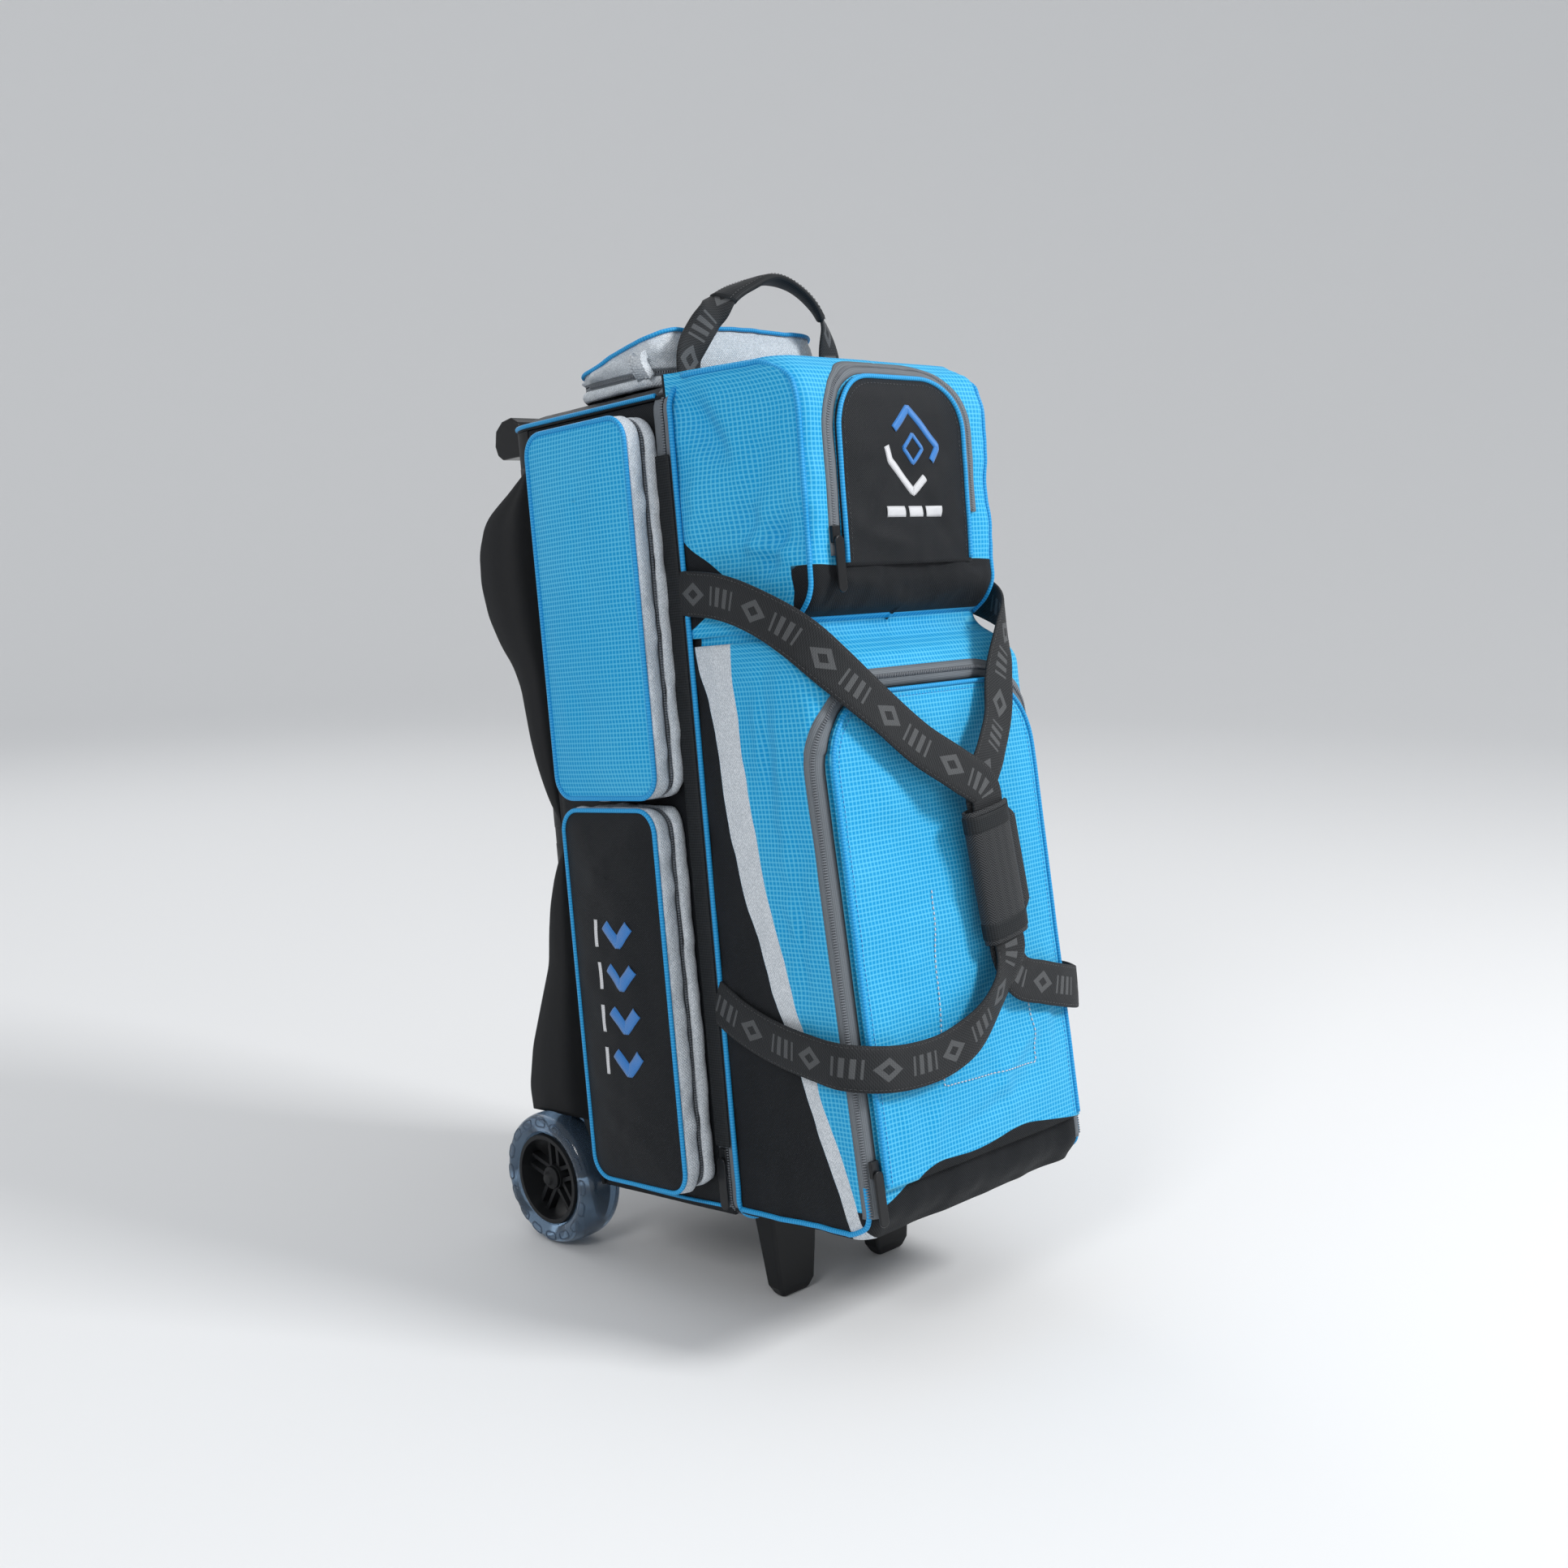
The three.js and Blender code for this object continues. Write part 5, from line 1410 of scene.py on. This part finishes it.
def makeTopPocket():
    outline, normal, along = roundedOutline(topPocket["left"], topPocket["right"], topPocket["front"],
                                            topPocket["back"], topPocket["corner"], 3.4)
    x, y = outline.T
    middle = np.array([-10, 84, 700])
    rim = np.interp(y, [topPocket["front"], topPocket["back"]], [topPocket["frontTop"], topPocket["backTop"]])
    leftEnd = 1 - smoothStep(-112, -50, x)
    rim = rim - leftEnd * 7 + crumple(along, along * 0, 30, 141) * 1.6

    def ring(inset, z, wrinkle):
        wave = (crumple(along, z * 1.5, 15, 143) * 2.4
                + crumple(along, z * 2, 7, 144) * 0.8) * (0.5 + leftEnd * 1.2)
        spots = outline + normal * (np.clip(wave * wrinkle, -3.5, 2.2) - inset)[:, None]
        return np.column_stack([spots, np.broadcast_to(z, len(along))])

    even = np.ones(len(along))
    tray = [ring(i, z * even, w) for i, z, w in ((1.4, 717.4, 0), (-0.8, 719.5, 0.5), (-1.6, 723, 0.6),
                                                 (-0.6, 726.4, 0.4), (1.0, 727.4, 0))]
    wall = ringWall("topPocket.tray", tray, along, [717, 720, 723, 726, 727], "silverCloth", "chassis",
                    "silver_fabric", middle, 1.2)
    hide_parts("top_pocket")
    ringWall("topPocket.baseTape", [ring(1.6, z * even, 0) for z in (726.6, 728.6, 730.4)], along, [0, 2, 4],
             "zipTape", "chassis", "zip_metal", middle, 0.8)
    ringWall("topPocket.lidTape", [ring(1.6, z * even, 0) for z in (731.2, 732.8, 734.4)], along, [0, 2, 4],
             "zipTape", "top_pocket_lid", "zip_metal", middle, 0.8)
    shares = np.array([0, 0.06, 0.16, 0.3, 0.45, 0.6, 0.75, 0.88, 1.0])
    lid = [ring(1.2 - 3.2 * math.sin(math.pi * min(t * 1.1, 1)), 733.2 + (rim - 733.2) * t,
                math.sin(math.pi * min(max(t, 0.02), 0.98)) * 1.3) for t in shares]
    strip = ringWall("topPocket.lidStrip", lid, along, shares * 38, "silverCloth", "top_pocket_lid",
                     "silver_fabric", middle, 1.3)

    def place(spots, height):
        u, v = spots.T
        edgeHeight = np.interp(v, [topPocket["front"], topPocket["back"]],
                               [topPocket["frontTop"], topPocket["backTop"]])
        edgeHeight = edgeHeight - (1 - smoothStep(-112, -50, u)) * 7
        share = np.clip(height / 3.0, 0, 1)
        sag = -5.0 * share * np.sin(np.pi * np.clip((u + 112) / 204, 0, 1))
        folds = crumple(u, v, 24, 151) * 2.2 + crumple(u + v, v, 10, 152) * 0.8
        edgeWave = crumple(along, along * 0, 30, 141) * 1.6
        return np.column_stack([spots, edgeHeight + edgeWave * (1 - share) + sag + folds * share])

    face = padFace("topPocket.face", outline - normal * 1.0, place, 3.0, lambda p: p[:, :2], "silverCloth",
                   "top_pocket_lid", "silver_fabric", middle, thickness=1.4)
    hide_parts("top_pocket_lid")
    addPiping("topPocket.piping", np.column_stack([outline - normal * 0.2, rim + 0.6]), (0, 0, 1),
              "top_pocket_lid", 1.9, closed=True)
    order = [i for i in np.roll(np.arange(len(along)), -np.argmax(y)) if y[i] < topPocket["back"] - 22]
    route = np.column_stack([outline[order] - normal[order] * 0.5, np.full(len(order), 730.2)])
    repeatAlong("topPocket.teeth", [route], [np.column_stack([normal[order], np.zeros(len(order))])], 2.2,
                (1.4, 3.2, 1.5), "coilPlastic", "chassis", "zip_metal")
    tab = smoothRoute([(-112.5, 40, 726), (-116, 40, 731), (-118.5, 42, 738), (-116.5, 44, 744),
                       (-112.5, 44, 746)], 2)
    addSweep("topPocket.tab", tab, (0, -1, 0), bandProfile(1.8, 16), "silverCloth", "chassis",
             "silver_fabric")
    # The lid's hinge cloth at the back.
    u = rowsBetween(topPocket["left"] + 28, topPocket["right"] - 28, 12)
    z = np.linspace(723, 738, 11)
    bulge = topPocket["back"] + 2.0 + 0.8 * np.sin(np.linspace(0, math.pi, 11))
    hingeCloth("topPocket.hinge", (u[:, None], bulge[None, :], z[None, :]), [0, 2], "silverCloth",
               "silver_fabric", middle, 0.9, (0, 142, 726), (0, 142, 736))


makeTopPocket()
print("top pocket ready")


# The main zip round the front seam, its woven cover and the fabric hinge on the right.
def seamRing(out, y):
    left = [(-100, -1.4), (-126, -0.6), (-137.6, 9), (-138.6, 30), (-138.6, 200), (-138.6, 500),
            (-138.6, 676), (-137.4, 697), (-127, 710), (-106, 717)]
    right = [(-x, z) for x, z in left[::-1]]
    flat = np.array([(60, -1.6), (0, -1.8), (-60, -1.6)] + left + [(-50, 717.6), (50, 717.6)] + right, float)
    path = smoothRoute(np.column_stack([flat, np.zeros(len(flat))]), 3.0, True)[:, :2]
    tangent = unit(np.roll(path, -1, 0) - np.roll(path, 1, 0))
    normal = np.stack([-tangent[:, 1], tangent[:, 0]], 1)
    if (normal * (path - [0, 350])).sum() < 0:
        normal = -normal
    moved = path + normal * out
    return (np.column_stack([moved[:, 0], np.full(len(path), y), moved[:, 1]]),
            np.column_stack([normal[:, 0], np.zeros(len(path)), normal[:, 1]]))


def makeMainZip():
    ring = seamRing(1.0, -2.4)[0]
    keep = ring[:, 0] < 96
    first = int(np.nonzero(keep & ~np.roll(keep, 1))[0][0])
    order = np.roll(np.arange(len(ring)), -first)
    order = order[keep[order]]
    for label, y, width, body in (("bodyTape", -2.0, 11.0, "chassis"), ("doorTape", -12.0, 6.6, "door")):
        route, out = seamRing(0.9, y)
        addSweep(f"mainZip.{label}", route[order], out[order], bandProfile(width, 1.0), "zipTape", body,
                 "zip_metal")
    route, out = seamRing(2.0, -7.2)
    repeatAlong("mainZip.teeth", [route[order]], [out[order]], 2.3, (1.5, 4.4, 1.5), "coilPlastic", "chassis",
                "zip_metal")
    route, out = seamRing(1.6, -17.2)
    addPiping("doorPiping", route, out, "door", 2.3, closed=True)
    span = np.nonzero((ring[:, 2] > 60) & (ring[:, 2] < 655) & (ring[:, 0] < 0))[0]
    cover, out = seamRing(3.6, -5.0)
    addSweep("seamCover.left", cover[span], out[span], bandProfile(18, 1.4, 1.0), "wovenBand", "chassis",
             "black_fabric")
    z = rowsBetween(14, 690, 10)
    y = np.linspace(9, -25, 15)
    x = 139.4 + 2.0 * np.sin(np.linspace(0, math.pi, 15)) ** 0.7
    hingeCloth("doorHinge.cloth", (x[None, :], y[None, :], z[:, None]), [1, 2], "wovenBand", "black_fabric",
               (100, -8, 350), 1.2, (139.6, 3, 350), (139.6, -19, 350))


makeMainZip()


# Zips, piping and seams on the compartments.
def makeCompartmentTrim():
    route = archRoute(upperArch, 7, 556, 590)
    stripOn(upperCover, "upperZip.tape", route, 13, 1.6, "zipTape", "door", "zip_metal")
    line, out = lineOn(upperCover, archRoute(upperArch, 8, 556, 590, 3), 1.9)
    repeatAlong("upperZip.teeth", [line], [out], 2.1, (1.4, 4.4, 1.5), "coilPlastic", "door", "zip_metal")
    route = archRoute(lowerArch, 8, 24, 24)
    stripOn(lowerCover, "lowerZip.tape", route, 17, 2.0, "zipTape", "door", "zip_metal")
    line, out = lineOn(lowerCover, archRoute(lowerArch, 9.5, 26, 26, 3), 2.6)
    repeatAlong("lowerZip.teeth", [line], [out], 2.2, (1.5, 4.8, 1.6), "coilPlastic", "door", "zip_metal")
    for label, arch, depthAt, inset, body, radius in (("upperFlap", upperArch, upperFlapY, 2.0,
                                                       "upper_flap", 2.1),
                                                      ("lowerFlap", lowerArch, lowerFlapY, 2.2, "door", 1.9)):
        flat = archRoute(arch, -inset, arch["bottom"] + 3, arch["bottom"] + 3, 4)
        route = np.column_stack([flat[:, 0], depthAt(flat[:, 0], flat[:, 1]) - 0.6, flat[:, 1]])
        addPiping(f"{label}.piping", route, (0, -1, 0), body, radius)
        inner = archRoute(arch, -inset - 6, arch["bottom"] + 6, arch["bottom"] + 6, 4)
        seam = np.column_stack([inner[:, 0], depthAt(inner[:, 0], inner[:, 1]) - 0.2, inner[:, 1]])
        thread = "blackThread" if label == "upperFlap" else "blueThread"
        repeatAlong(f"{label}.stitches", [seam], [(0, -1, 0)], 4.0, (2.8, 0.7, 0.5), thread, body,
                    "black_fabric" if label == "upperFlap" else "blue_check")
    for side, sign in sides.items():
        cornerS = sign * (118 - 14 + 14 * math.pi / 4)
        reach = float(upperCover.reach(719.0))
        edge = upperCover.at(np.full(22, cornerS), np.linspace(504, 700, 22), 1.0)
        edgeFacing = upperCover.facing(np.full(22, cornerS), np.linspace(504, 700, 22))
        overS = sign * np.linspace(abs(cornerS) + 10, reach - 16, 14)
        over = upperCover.at(overS, np.full(14, 716.6), 0.8)
        overFacing = np.tile([sign * 0.8, -0.1, 0.6], (14, 1))
        stops = np.hstack([np.vstack([edge, over]), np.vstack([edgeFacing, overFacing])])
        path = smoothRoute(stops, 3.5)
        addPiping(f"upperEdge.piping.{side}", path[:, :3], path[:, 3:], "door", 2.1)
        s = sign * np.linspace(150, float(lowerCover.reach(9.0)) - 12, 24)
        foot = lowerCover.at(s, np.full(24, 8.0), 0.8)
        rise = lowerCover.at(np.full(7, sign * 141.0), np.linspace(50, 16, 7), 0.8)
        stops = np.vstack([rise, foot])
        path = smoothRoute(stops, 3.5)
        out = unit(path - np.array([0, -80, 60])) * [1, 1, 0.4]
        addPiping(f"lowerEdge.piping.{side}", path, out, "door", 2.3)
    sample = np.array([(-36, 274), (-51, 114), (74, 107), (68, 220)], float)
    flat = evenRoute(np.hstack([sample, np.zeros((4, 1))]), 3)[:, :2]
    patch = np.column_stack([flat[:, 0], lowerFlapY(flat[:, 0], flat[:, 1]) - 0.8, flat[:, 1]])
    repeatAlong("patchStitches", [patch], [(0, -1, 0)], 4.4, (3.4, 1.3, 1.0), "whiteThread", "door",
                "webbing")


makeCompartmentTrim()
print("zips, piping and stitching ready")


# Straps, the grip wrap and the loop handle.
webbingSize = {"width": 38, "thickness": 2.4}
sideX = 141.5
insideWrap = lambda y: [((15 + 18 * t, y, 353 - 140 * t), (0, -1, 0)) for t in (0, 0.15, 0.85, 1)]
strapRoutes = {
    "left": [((-sideX, -12, 538), (-1, 0, 0)), ((-sideX - 1, -60, 531), (-1, 0, 0)),
             ((-sideX - 1.5, -105, 515), (-1, -0.1, 0)), ((-136, -142, 492), (-0.8, -0.6, 0)),
             ((-118, -162, 465), (-0.4, -0.9, 0)), ((-82, -174, 430), (0, -1, 0)),
             ((-45, -182, 397), (0, -1, 0)), ((-14, -192, 374), (0, -1, 0))] + insideWrap(-195.4) + [
             ((18, -195, 186), (0.45, -0.9, 0)), ((-14, -195, 158), (0.5, -0.85, 0.1)),
             ((-52, -193, 144), (0.1, -1, 0)), ((-96, -191, 142), (0, -1, 0)),
             ((-130, -185, 146), (-0.3, -0.95, 0)), ((-152, -165, 151), (-0.8, -0.6, 0)),
             ((-151, -130, 155), (-1, 0, 0)), ((-sideX - 5, -85, 162), (-1, 0, 0)),
             ((-sideX - 3, -45, 175), (-1, 0, 0)), ((-sideX, -12, 191), (-1, 0, 0))],
    "right": [((sideX, -12, 538), (1, 0, 0)), ((sideX + 1, -60, 531), (1, 0, 0)),
              ((sideX, -102, 518), (1, -0.1, 0)), ((128, -138, 500), (0.7, -0.7, 0)),
              ((104, -156, 478), (0.3, -0.95, 0)), ((82, -166, 446), (0, -1, 0)),
              ((66, -174, 412), (0, -1, 0)), ((40, -185, 384), (0, -1, 0))] + insideWrap(-190.6) + [
              ((50, -190, 188), (0, -1, 0)), ((84, -189, 176), (0, -1, 0)),
              ((115, -187, 167), (0.2, -0.98, 0)), ((144, -178, 160), (0.6, -0.8, 0)),
              ((157, -158, 160), (1, 0, 0)), ((153, -110, 165), (1, 0, 0)),
              ((sideX + 5, -60, 178), (1, 0, 0)), ((sideX, -12, 191), (1, 0, 0))],
}


def makeStraps():
    for side, stops in strapRoutes.items():
        path = smoothRoute([point + facing for point, facing in stops], 4.0)
        strap = addSweep(f"carryStrap.{side}", path[:, :3], path[:, 3:], bandProfile(
            webbingSize["width"], webbingSize["thickness"], 0.5), "webbing", "door", "webbing")
        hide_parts(f"carry_strap_{side}")
        tangent = unit(np.gradient(path[:, :3], axis=0))
        across = unit(np.cross(path[:, 3:], tangent))
        out = unit(np.cross(tangent, across))
        seams = [path[3:-3, :3] + (across * sign * 16.4 + out * 1.35)[3:-3] for sign in (-1, 1)]
        repeatAlong(f"carryStrap.{side}.stitches", seams, [out[3:-3]] * 2, 4.2, (2.9, 0.6, 0.4),
                    "blackThread", "door", "webbing")


wrap = {"top": (15, 340), "bottom": (33, 226), "y": -193}


def makeGripWrap():
    top, bottom = np.array(wrap["top"], float), np.array(wrap["bottom"], float)
    along = unit(bottom - top)
    right = np.array([-along[1], along[0]])
    # Across the wrap and towards the front. The front layer ends short and the back one runs on.
    section = smoothRoute([(45, -6.2, 0), (20, -7.4, 0), (-16, -7.2, 0), (-23.5, -4.6, 0), (-26, 0.5, 0),
                           (-22.5, 6.0, 0), (-14, 8.6, 0), (4, 9.6, 0), (17, 8.0, 0), (23.5, 4.6, 0),
                           (25, 3.2, 0)], 2.4)
    count = len(section)
    rows = rowsBetween(0, float(np.linalg.norm(bottom - top)), 2.8)
    length = rows[-1]
    places, spots = [], []
    arc = np.concatenate([[0], np.cumsum(np.linalg.norm(np.diff(section[:, :2], axis=0), axis=1))])
    for t in rows:
        nearEnd = min(t, length - t)
        tail = 1 - 0.45 * (1 - smoothStep(0, 22, nearEnd))
        crown = 0.84 + 0.16 * smoothStep(0, 9, nearEnd)
        r = np.where((section[:, 0] > 10) & (section[:, 1] < 0), 10 + (section[:, 0] - 10) * tail,
                     section[:, 0])
        f = section[:, 1] * crown
        centre = top + along * t
        flat = centre + right * r[:, None]
        places.append(np.column_stack([flat[:, 0], wrap["y"] - f, flat[:, 1]]))
        spots.append(np.column_stack([arc, np.full(count, t)]))
    sheet = addMesh("gripWrap", np.vstack(places), gridFaces(len(rows), count), "herringbone", "door",
                    "black_fabric", np.vstack(spots), behind=(24, -193, 283))
    thicken(sheet, 1.6, 0.0)
    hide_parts("grip_wrap")
    for label, row in (("top", 4), ("bottom", len(rows) - 5)):
        hem = places[row]
        downWrap = np.array([along[0], 0, along[1]])
        facing = np.cross(np.gradient(hem, axis=0), downWrap)
        addSweep(f"gripWrap.{label}Hem", hem, facing, bandProfile(15, 2.6), "wovenBand", "door",
                 "black_fabric")
        edge = places[row + (3 if label == "top" else -3)]
        seam = edge + unit(np.cross(np.gradient(edge, axis=0), downWrap)) * 1.4
        repeatAlong(f"gripWrap.{label}Stitches", [seam], [facing], 3.6, (2.4, 0.6, 0.4), "blackThread",
                    "door", "black_fabric")


loopStops = [((-92, 8, 719), (0, -1, 0)), ((-90, 8, 741), (-0.1, -1, 0)), ((-76, 7, 762), (-0.5, -0.8, 0.2)),
             ((-62, 6, 777), (0.5, -0.6, 0.6)), ((-44, 7, 792), (-0.5, -0.4, 0.75)),
             ((-18, 8, 804), (-0.2, -0.2, 0.95)), ((14, 8, 813), (0, 0, 1)),
             ((44, 8, 808), (0.2, -0.3, 0.9)), ((66, 8, 795), (0.5, -0.5, 0.6)),
             ((80, 8, 777), (0.5, -0.8, 0.3)), ((84, 8, 747), (0, -1, 0)), ((84, 8, 719), (0, -1, 0))]


def makeLoop():
    path = smoothRoute([point + facing for point, facing in loopStops], 3.0)
    strap = addSweep("loopHandle.strap", path[:, :3], path[:, 3:], bandProfile(26, 2.6, 0.8), "webbing",
                     "loop_handle", "webbing")
    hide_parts("loop_handle")
    sleeve = path[(path[:, 0] > -46) & (path[:, 2] > 783)]
    angles = np.arange(16) / 16 * 2 * math.pi
    form = np.stack([14.0 * np.cos(angles), 4.6 * np.sin(angles) + 0.4], 1)
    cover = addSweep("loopHandle.sleeve", sleeve[:, :3], sleeve[:, 3:], form, "wovenBand", "loop_handle",
                     "webbing")
    tangent = unit(np.gradient(sleeve[:, :3], axis=0))
    across = unit(np.cross(sleeve[:, 3:], tangent))
    out = unit(np.cross(tangent, across))
    seams = [sleeve[:, :3] + across * sign * 9 + out * 4.3 for sign in (-1, 1)]
    repeatAlong("loopHandle.stitches", seams, [out] * 2, 4.0, (2.8, 0.7, 0.5), "blackThread", "loop_handle",
                "webbing")


makeStraps()
makeGripWrap()
makeLoop()
print("straps and handles ready")


# Generic embroidery: satin-stitched bars laid on the cloth.
def satinStrip(name, points, width, surface, lift, finish, body, slot):
    flat = evenRoute(np.hstack([np.array(points, float), np.zeros((len(points), 1))]), 2.0)[:, :2]
    tangent = unit(np.gradient(flat, axis=0))
    sideways = np.stack([-tangent[:, 1], tangent[:, 0]], 1)
    offsets = np.linspace(-width / 2, width / 2, 5)
    lifts = lift * np.array([0.2, 0.9, 1.1, 0.9, 0.2])
    spots = flat[:, None] + sideways[:, None] * offsets[None, :, None]
    places = surface(spots[..., 0].ravel(), spots[..., 1].ravel(), np.tile(lifts, len(flat)))
    along = np.arange(len(flat)) * 2.0
    uv = np.stack(np.broadcast_arrays(along[:, None], offsets[None, :] * 0.4), -1).reshape(-1, 2)
    if body == "upper_flap":
        middle = places.mean(0) * [1, 0, 1] + [0, 60, 0]
    else:
        middle = np.array([0, *places.mean(0)[1:]])
    return thicken(addMesh(name, places, gridFaces(len(flat), 5), finish, body, slot, uv, behind=middle), 0.5)


def onUpperFlap(x, z, lift):
    return np.column_stack([x, upperFlapY(x, z) - lift, z])


def makeEmbroidery():
    centre = np.array([5.0, 640.0])
    white = [(-31, 4), (-27, -8), (0, -34), (14, -22)]
    blue = [(-20, 18), (0, 36), (33, 4), (24, -8)]
    small = [(-11, 2), (1, 14), (13, 2), (1, -10), (-11, 2), (1, 14)]
    for label, shape, width, finish in (("white", white, 7, "whiteThread"), ("blue", blue, 7, "blueThread"),
                                        ("small", small, 4, "blueThread")):
        satinStrip(f"flapMark.{label}", np.array(shape) + centre, width, onUpperFlap, 1.0, finish,
                   "upper_flap", "webbing")
    for i, (left, right) in enumerate(((-30, -8), (-3, 14), (19, 40))):
        satinStrip(f"flapMark.bar{i}", [(left, 590), (right, 590)], 9, onUpperFlap, 0.9, "whiteThread",
                   "upper_flap", "webbing")
    for side, sign in sides.items():
        def onPocket(y, z, lift, sign=sign):
            return np.column_stack([sign * (pocketFaceX(pocketSizes[1], sign, y, z) + lift), y, z])

        body = f"lower_pocket_lid_{side}"
        for i in range(4):
            z = 258 - i * 38
            satinStrip(f"pocketMark.{side}.chevron{i}", [(50, z), (66, z - 16), (82, z)], 11, onPocket, 0.9,
                       "blueThread", body, "blue_check")
            satinStrip(f"pocketMark.{side}.bar{i}", [(95, z + 4), (95, z - 20)], 5, onPocket, 0.8,
                       "whiteThread", body, "webbing")


makeEmbroidery()
print("embroidery ready")


# Clear tyres with a ring of moulded windows.
def makeTyres():
    stops = [(44.6, 112.5), (49, 110), (55, 109), (60.2, 111), (62.8, 117), (63.5, 125), (63.5, 137),
             (62.8, 145), (60.2, 151), (55, 153.4), (49, 152.2), (44.6, 149.5)]
    profile = smoothRoute([(r, x, 0) for r, x in stops], 2.2)[:, :2]
    spokes, count = 72, len(profile)
    turns = np.arange(spokes) / spokes * 2 * math.pi
    for side, sign in sides.items():
        points = np.stack([np.broadcast_to(sign * profile[None, :, 1], (spokes, count)),
                           axlePlace[1] + np.cos(turns)[:, None] * profile[None, :, 0],
                           axlePlace[2] + np.sin(turns)[:, None] * profile[None, :, 0]], -1)
        points = points.reshape(-1, 3)
        faces = gridFaces(spokes, count, True)
        last = (spokes - 1) * count
        faces += [[last + i, last + (i + 1) % count, (i + 1) % count, i] for i in range(count)]
        tyre = recalculated(addMesh(f"clearTyre.{side}", points, faces, "clearTyre",
                                    f"wheel_{side}", "clear_tyre", points[:, 1:]))
        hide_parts(f"tyre_{side}")
        # Raised frames around each tyre's outer side.
        frames, frameFaces = [], []
        outline = roundedOutline(-7.2, 7.2, -3.6, 3.6, 3.2, 2.2)[0]
        for i in range(16):
            turn = i / 16 * 2 * math.pi
            radius, slide = 55.2 + outline[:, 1], outline[:, 0] / 55.2
            x = sign * np.interp(radius, [50, 55, 60], [152.0, 153.2, 151.4])
            path = np.column_stack([x, axlePlace[1] + radius * np.cos(turn + slide),
                                    axlePlace[2] + radius * np.sin(turn + slide)])
            ringPoints, ringFaces = sweep(path, (sign, 0, 0), circleProfile(0.9, 6), True)[:2]
            start = sum(len(done) for done in frames)
            frameFaces += [[start + corner for corner in face] for face in ringFaces]
            frames.append(ringPoints)
        recalculated(addMesh(f"tyreWindows.{side}", np.vstack(frames), frameFaces, "clearTyre",
                             f"wheel_{side}",
                             "clear_tyre", np.vstack(frames)[:, 1:]))


makeTyres()
print("wheels ready")

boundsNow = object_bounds()
{"cad": [list(corner) for corner in cadBounds], "visual": [list(corner) for corner in boundsNow]}
